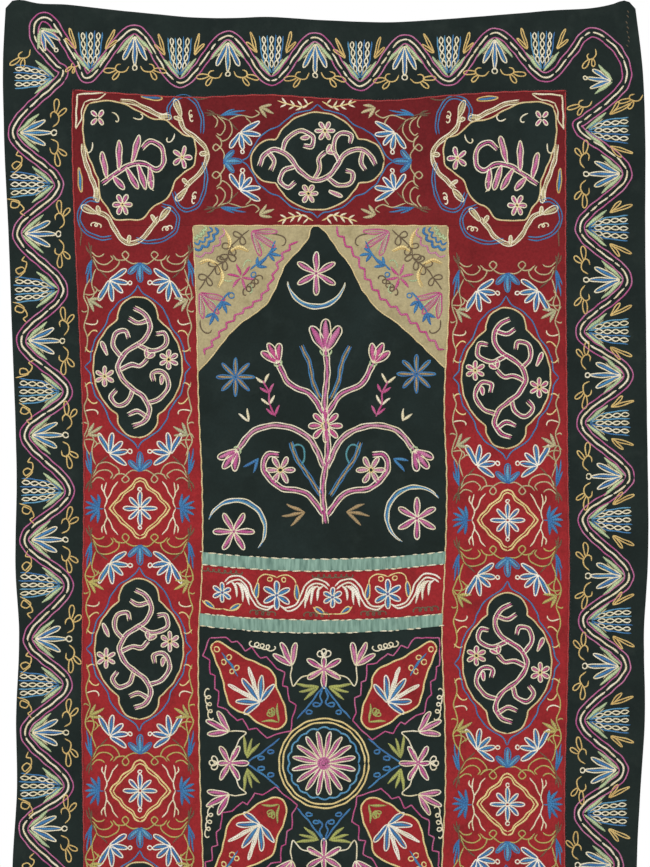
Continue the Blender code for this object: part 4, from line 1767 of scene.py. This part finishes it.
def build_niche():
    """The arch's cords, the spandrels, and the crescents, stars and bouquet of the dark field."""
    across = np.linspace(-210, 214, 120)
    arch_line = np.column_stack([across, arch(across)])
    lay("niche", [stroke(arch_line, "cord", THIN)])
    # The jagged lines beside the arch stop short of its apex and of its feet.
    left = arch_line[(across < -34) & (across > -196)] + (-8, -15)
    right = arch_line[(across > 14) & (across < 200)] + (8, -15)
    lay("niche", [stroke(zigzag(left[::-1], 13, 5.2), "magenta", 3.8)])
    lay("niche", [stroke(zigzag(right, 13, 5.2), "magenta", 3.8)])
    lay("niche", set_down(spandrel(), *SPANDREL_CORNERS[0]))
    lay("niche", set_down(spread(spandrel(), -1, 1), *SPANDREL_CORNERS[1]))
    lay("niche", held_flower(*UPPER_CRESCENT))
    for place in NICHE_STARS:
        lay("niche", set_down(flower(8, 32, 6, "tan", "blue", root=1), *place))
    for crescent_row in LOWER_CRESCENTS:
        lay("niche", held_flower(*crescent_row))
    lay("niche", set_down(bouquet(), *BOUQUET_FOOT))


def six_petals(length):
    """The six-petal flower that a crescent holds."""
    return flower(6, length, length * 0.27, "pink", "cream", root=2, heart="pink")


def crescent(radius, start, end):
    """Two cream arcs that meet at both ends, with blue rows between them."""
    angle = np.radians(np.linspace(start, end, 40))
    bulge = np.sin(np.linspace(0, math.pi, 40))
    found = []
    for offset, shade in ((3.8, "cream"), (1.2, "blue"), (-1.2, "sky"), (-3.8, "cream")):
        found.append(stroke(round_line(radius + offset * bulge, angle), shade, THIN))
    return found


def held_flower(place, length, turn, middle, start, end):
    """A six-petal flower, and the crescent that holds it."""
    found = set_down(six_petals(length), *place, turn=turn)
    return found + set_down(crescent(CRESCENT_RADIUS, start, end), *middle)


def broad_stem(path, core="pink", edging="cream", reach=4.4, width=BOLD):
    """A stem of one broad core row between two edging rows."""
    return [stroke(path, core, width)] + [stroke(aside(path, way * reach), edging, THIN) for way in (-1, 1)]


def tulip(size, core="pink", edging="cream"):
    """A three-lobed flower head on its own calyx."""
    side = (size, size * 0.34)
    found = fan([(-30, *side), (0, size * 1.12, size * 0.36), (30, *side)], core, edging)
    found.append(stroke(bow(size * 0.2, 90, 270, across=size * 0.05), "green", LINE))
    return found


def heading_of(path):
    """The direction in degrees in which a path ends."""
    last = path[-1] - path[-3]
    return math.degrees(math.atan2(last[1], last[0]))


def bouquet():
    """A tall spray of three tiers of stems with tulips and round flowers, from its foot upwards."""
    found = broad_stem(spline((0, 0), (-5, -60), (4, -130), (-2, -200), (3, -260), (0, -300)))
    found += set_down(tulip(50), 0, -296, turn=-90)
    slim_stems = (
        ((9, -214), (22, -244), (28, -276), (42, -306)),
        ((8, -48), (32, -86), (50, -112), (60, -140)),
    )
    for side in (-1, 1):
        low = spline((2, -14), (34, -52), (78, -62), (106, -92), (100, -118), (80, -118)) * (side, 1)
        found += broad_stem(low)
        found += set_down(flower(6, 21, 8, "rose", "cream", root=4, heart="yellow"), side * 78, -92)
        middle = spline((2, -96), (28, -146), (74, -168), (122, -160), (152, -126)) * (side, 1)
        found += broad_stem(middle, core="rose")
        found += set_down(tulip(36), *middle[-1], turn=heading_of(middle))
        high = spline((2, -186), (26, -222), (62, -240), (82, -276)) * (side, 1)
        found += broad_stem(high)
        found += set_down(tulip(34, "magenta"), *high[-1], turn=heading_of(high))
        for run in slim_stems:
            found += broad_stem(spline(*run) * (side, 1), core="tan", edging="blue", reach=3.2, width=LINE)
        twig = spline((86, -184), (96, -204), (98, -226), (108, -246)) * (side, 1)
        found.append(stroke(twig, "magenta", LINE))
        for at, shade in ((1, "magenta"), (8, "cream"), (15, "magenta"), (22, "cream")):
            found += set_down(blades([(-40, 19), (40, 19)], shade, 5.0), *twig[at], turn=-90 + side * 14)
        foot_leaves = blades([(-34, 34), (0, 40), (34, 34)], "tan", 6.0)
        found += set_down(foot_leaves, side * 36, -20, turn=90 - side * 80)
        leaves = blades([(-30, 26), (10, 30)], "blue", 5.4)
        found += set_down(leaves, side * 116, -112, turn=90 - side * 50)
        leaves = blades([(-24, 22), (24, 22)], "cream", 5.0)
        found += set_down(leaves, side * 132, -176, turn=-90 + side * 30)
        tendril = curl(-90 - side * 30, 60, side * 70, side * 200, start=(side * 42, -100))
        found.append(stroke(tendril, "teal", LINE))
    return found + set_down(flower(8, 22, 9, "magenta", "cream", root=7, heart="yellow"), 0, -168)


# The ribbons' strips: a strip's middle under the ribbon above it, the places across between which
# its needlework stays, and its flowers in a row.

STRIP_MIDDLE = 43.0
STRIP_REACH = (-208, 210)
STRIP_FLOWERS = ((-170, "small"), (-76, "large"), (20, "small"), (115, "large"))


def acanthus():
    """Half a scroll from a small flower over to a large one: broad rows with hanging leaf lobes."""
    rows = (
        (LINE, ((4, -17), (14, -26), (32, -29), (47, -17), (54, 0), (64, 16), (80, 21), (90, 17))),
        (LINE, ((7, -12), (17, -20), (31, -22), (42, -12), (49, 6), (60, 20), (76, 26), (90, 17))),
        (THIN, ((18, -14), (30, -16), (38, -6), (44, 10))),
    )
    lobes = (
        ((15, -18), (24, -10), (25, 8)),
        ((24, -18), (34, -8), (36, 15)),
        ((32, -18), (42, -4), (47, 20)),
    )
    found = [sewn("white", width, *row) for width, row in rows]
    return found + [sewn("white", 5.2, *lobe, leafy=True) for lobe in lobes]


def leaf_pair(way):
    """A yellow stem that parts into two blue leaves edged with yellow: over a flower, or under it."""
    if way < 0:
        half = [sewn("yellow", THIN, (0, -2), (8, -6), (20, -7), (30, -1), (33, 8))]
        half.append(stroke(ring(3.8, 12, 1), "yellow", THIN))
        half += set_down(outlined(27, 7.5, "blue", "yellow"), 33, 8, turn=84)
    else:
        half = [sewn("yellow", THIN, (0, 4), (14, 5), (26, 2), (34, -8))]
        half += set_down(outlined(19, 7, "blue", "yellow"), 14, 4, turn=-32)
    return both_sides(half)


def strip_row():
    """One ribbon strip's flowers and scrolls about its middle line."""
    found = []
    for across, size in STRIP_FLOWERS:
        scroll = acanthus() if size == "small" else spread(set_down(acanthus(), -95, 0), -1, 1)
        found += set_down(scroll, across, 0)
        if size == "large":
            found += set_down(flower(6, 23, 8.5, "blue", "white", root=2, heart="blue"), across, 0, turn=30)
            found += set_down(leaf_pair(-1), across, -28)
        else:
            found += set_down(flower(6, 15, 6.5, "blue", "white", root=2, heart="blue"), across, 2, turn=30)
            found += set_down(leaf_pair(1), across, 26)
            found.append(stroke(loops([(across - 34, -37), (across + 34, -37)], 7, 2.6), "umber", THIN))
    for start in (-120, -28, 70, 160):
        found.append(stroke(loops([(start, 34), (start + 40, 35)], 4, 3.4, side=-1), "umber", THIN))
    left, right = STRIP_REACH
    return [item for item in found if left < item.points[:, 0].min() and item.points[:, 0].max() < right]


def sagged(motif, name):
    """A motif that follows a seam: each point drops by the seam's drop at its place across."""
    line = level(name)
    found = []
    for item in motif:
        across, drop = item.points.T
        found.append(item._replace(points=np.column_stack([across, drop + line(across)])))
    return found


def build_strips():
    """Both ribbon bands: their strip's row, and the running stitches along the ribbons' edges."""
    for first, second in (("ribbon_1", "ribbon_2"), ("ribbon_3", "ribbon_4")):
        lay("panel", sagged(set_down(strip_row(), 0, STRIP_MIDDLE), first + "_bottom"))
        for name in (first + "_top", first + "_bottom", second + "_top", second + "_bottom"):
            across = np.linspace(-208, 212, 120)
            line = np.column_stack([across, level(name)(across)])
            lay("ribbon", worn([stroke(line, "cream", THIN)], 9, 3))


# The medallion panel.

# The jagged lines round the leaves stay within these places, clear of the panel's seams.
JAGGED_ACROSS = (-203, 204)
JAGGED_DROP = (1062, 1502)


def medallion_quarter():
    """In one quarter round the medallion, whose middle is 0: stems, tulips, curls and leaves."""
    found = [sewn("blue", LINE, (0, 134), (12, 118), (28, 97), (46, 77))]
    found.append(sewn("blue", LINE, (2, 128), (7, 116), (3, 106), (9, 97)))
    found += [stroke(petal(11, 6) + (7, 101), "blue", LINE), stroke(petal(10, 6) + (20, 88), "blue", LINE)]
    found.append(sewn("blue", LINE, (132, 2), (114, 13), (94, 28), (76, 43)))
    found += [stroke(petal(11, 6) + (102, 9), "blue", LINE), stroke(petal(10, 6) + (86, 20), "blue", LINE)]
    found += set_down(blades([(7, 40), (-15, 35), (-41, 34)], "olive", 6.0), 9, 132)
    found += set_down(blades([(83, 40), (105, 35), (131, 34)], "olive", 6.0), 132, 9)
    found += set_down(tulip_head(), 55, 168, turn=65)
    found += set_down(tulip_head(), 163, 54, turn=27)
    found.append(sewn("cream", THIN, (55, 168), (57, 150), (53, 133), (40, 147), (24, 152), (12, 158)))
    found.append(sewn("cream", THIN, (163, 54), (150, 56), (134, 52), (146, 40), (152, 24), (157, 12)))
    found.append(stroke(loops([(124, 210), (86, 201)], 4, 4.5), "cream", THIN))
    found.append(stroke(loops([(197, 126), (190, 78)], 4, 4.5), "cream", THIN))
    return found


def tulip_head():
    """Three pink loops from one root."""
    return fan([(-34, 38, 9), (0, 44, 9), (34, 40, 9)], "pink", "cream")


def leaf_filling():
    """On a red leaf, from the medallion's middle: palmette, blue line with yellow loops, green V."""
    found = set_down(fan([(29, 62, 5), (72, 64, 5)], "white", "white"), 110, 105)
    palmette = [(-36, 34, 8), (2, 41, 8.5), (53, 51, 9), (94, 46, 8.5), (128, 39, 8)]
    found += set_down(fan(palmette, "blue", "white"), 110, 105)
    found.append(sewn("blue", 4.4, (148, 150), (160, 170), (176, 190), leafy=True))
    for across, drop in ((158, 158), (150, 164), (172, 174), (163, 182), (184, 196)):
        found.append(stroke(ring(4.2, across, drop), "yellow", THIN))
    found.append(sewn("olive", BOLD, (107, 72), (92, 73), (77, 71), leafy=True))
    found.append(sewn("olive", BOLD, (80, 103), (80, 88), (77, 71), leafy=True))
    for turn in (10, 45, 80):
        found += open_petal(12, 6, "olive", 86, 83, turn=turn)
    return found


def toothed(outline, distance, tooth):
    """A loop round an outline at a distance, whose points step in and out by one tooth."""
    ring_points = evenly(outline, 14.0)
    out = normals(np.vstack([ring_points[-1:], ring_points, ring_points[:1]]))[1:-1]
    middle = ring_points.mean(axis=0)
    outwards = np.sign(np.sum(out * (ring_points - middle), axis=1))[:, None] * out
    along = np.roll(ring_points, -1, axis=0) - ring_points
    odd = np.arange(len(ring_points))[:, None] % 2
    uneven = rng.uniform(0.6, 1.3, (len(ring_points), 1))
    reach = distance + tooth * uneven * np.where(odd, 1.0, -0.3)
    corners = ring_points + outwards * reach + 0.5 * odd * along
    return straight_runs(np.vstack([corners, corners[:1]]))


def build_medallion():
    """The round medallion, its four leaves, and the flowers between them."""
    centre = (MEDALLION_ACROSS, MEDALLION_DROP)
    found = [stroke(ring(77), "yellow", LINE), stroke(ring(70.5), "yellow", LINE)]
    angle = np.linspace(0, TAU, 217)
    found.append(stroke(round_line(59 + 3.2 * np.abs(np.sin(9 * angle)), angle), "sky", LINE))
    found += flower(16, 47, 7.5, "pink", "cream", root=8, turn=11.25)
    found += [stroke(ring(radius), "pink", BOLD) for radius in (2.0, 6.0, 10.0)]
    blossom = [stroke(ring(2.5), "pink", BOLD)]
    for spin in (60, 120, 180, 240, 300):
        blossom += set_down(outlined(33, 8.5, "pink", "cream"), turn=spin)
    blossom += outlined(20, 7, "pink", "cream")
    for spin in (-58, 0, 58):
        blossom += open_petal(13, 9, "cream", 22, 0, turn=spin)
    for turn in (0, 90, 180, 270):
        found += set_down(set_down(blossom, 162, 0), turn=turn)
    found += four_ways(medallion_quarter())
    lay("panel", set_down(found, *centre))
    outlines = inlay_outlines()
    for name, ways in LEAVES.items():
        lay("inlay_leaf", [sewn_round(outlines[name], "yellow", LINE)])
        jagged = toothed(outlines[name], 12, 7)
        jagged[:, 0] = np.clip(jagged[:, 0], *JAGGED_ACROSS)
        jagged[:, 1] = np.clip(jagged[:, 1], *JAGGED_DROP)
        lay("panel", [stroke(jagged, "magenta", THIN)])
        lay("inlay_leaf", set_down(spread(leaf_filling(), *ways), *centre))


# Seams: the red edging's distance inside the seam, and an overcast stitch's reach and slant.

EDGE_LINE_IN = 1.5
OVERCAST_REACH = 2.2
OVERCAST_SLANT = 1.8


def build_seams():
    """Cords on the panel's seams, the band's red edge, and dark overcast stitches along it."""
    drops = np.linspace(356, 1806, 180)
    for name in ("panel_left", "panel_right"):
        line = np.column_stack([down_seam(name)(drops), drops])
        lay("panel", [stroke(line, "cord", THIN)])
    for name in ("panel_top", "panel_bottom"):
        across = np.linspace(-219, 217, 60)
        lay("panel", [stroke(np.column_stack([across, level(name)(across)]), "cord", THIN)])
    drops = np.linspace(124, 2034, 230)
    sides = [np.column_stack([down_seam(name)(drops), drops]) for name in ("band_left", "band_right")]
    across = np.linspace(-424, 420, 110)
    sides.append(np.column_stack([across, edge(BAND_TOP)(across)]))
    sides.append(np.column_stack([across, level("band_bottom")(across)]))
    for line in sides:
        inwards = np.sign(np.array([0.0, 1000.0]) - line.mean(axis=0))
        lay("border", [stroke(line + EDGE_LINE_IN * inwards, "crimson", THIN)])
        path = evenly_open(line, int(len(line) * 1.35))
        slope = -np.column_stack([normals(path)[:, 1], -normals(path)[:, 0]])
        starts = path - OVERCAST_REACH * normals(path)
        ends = path + OVERCAST_REACH * normals(path) + OVERCAST_SLANT * slope
        for start, end in zip(starts, ends):
            lay("border", [stroke([start, (start + end) / 2, end], "dark", 1.6)])


build_cloth()
build_border()
build_band()
build_niche()
build_strips()
build_medallion()
build_seams()
for (part, shade), strokes in sorted(threads.items()):
    material = bpy.data.materials.get(f"{shade} floss") or floss(f"{shade} floss", *FLOSS[shade])
    thread_piece(f"stitch_{part}_{shade}", strokes, material)
build_stage()
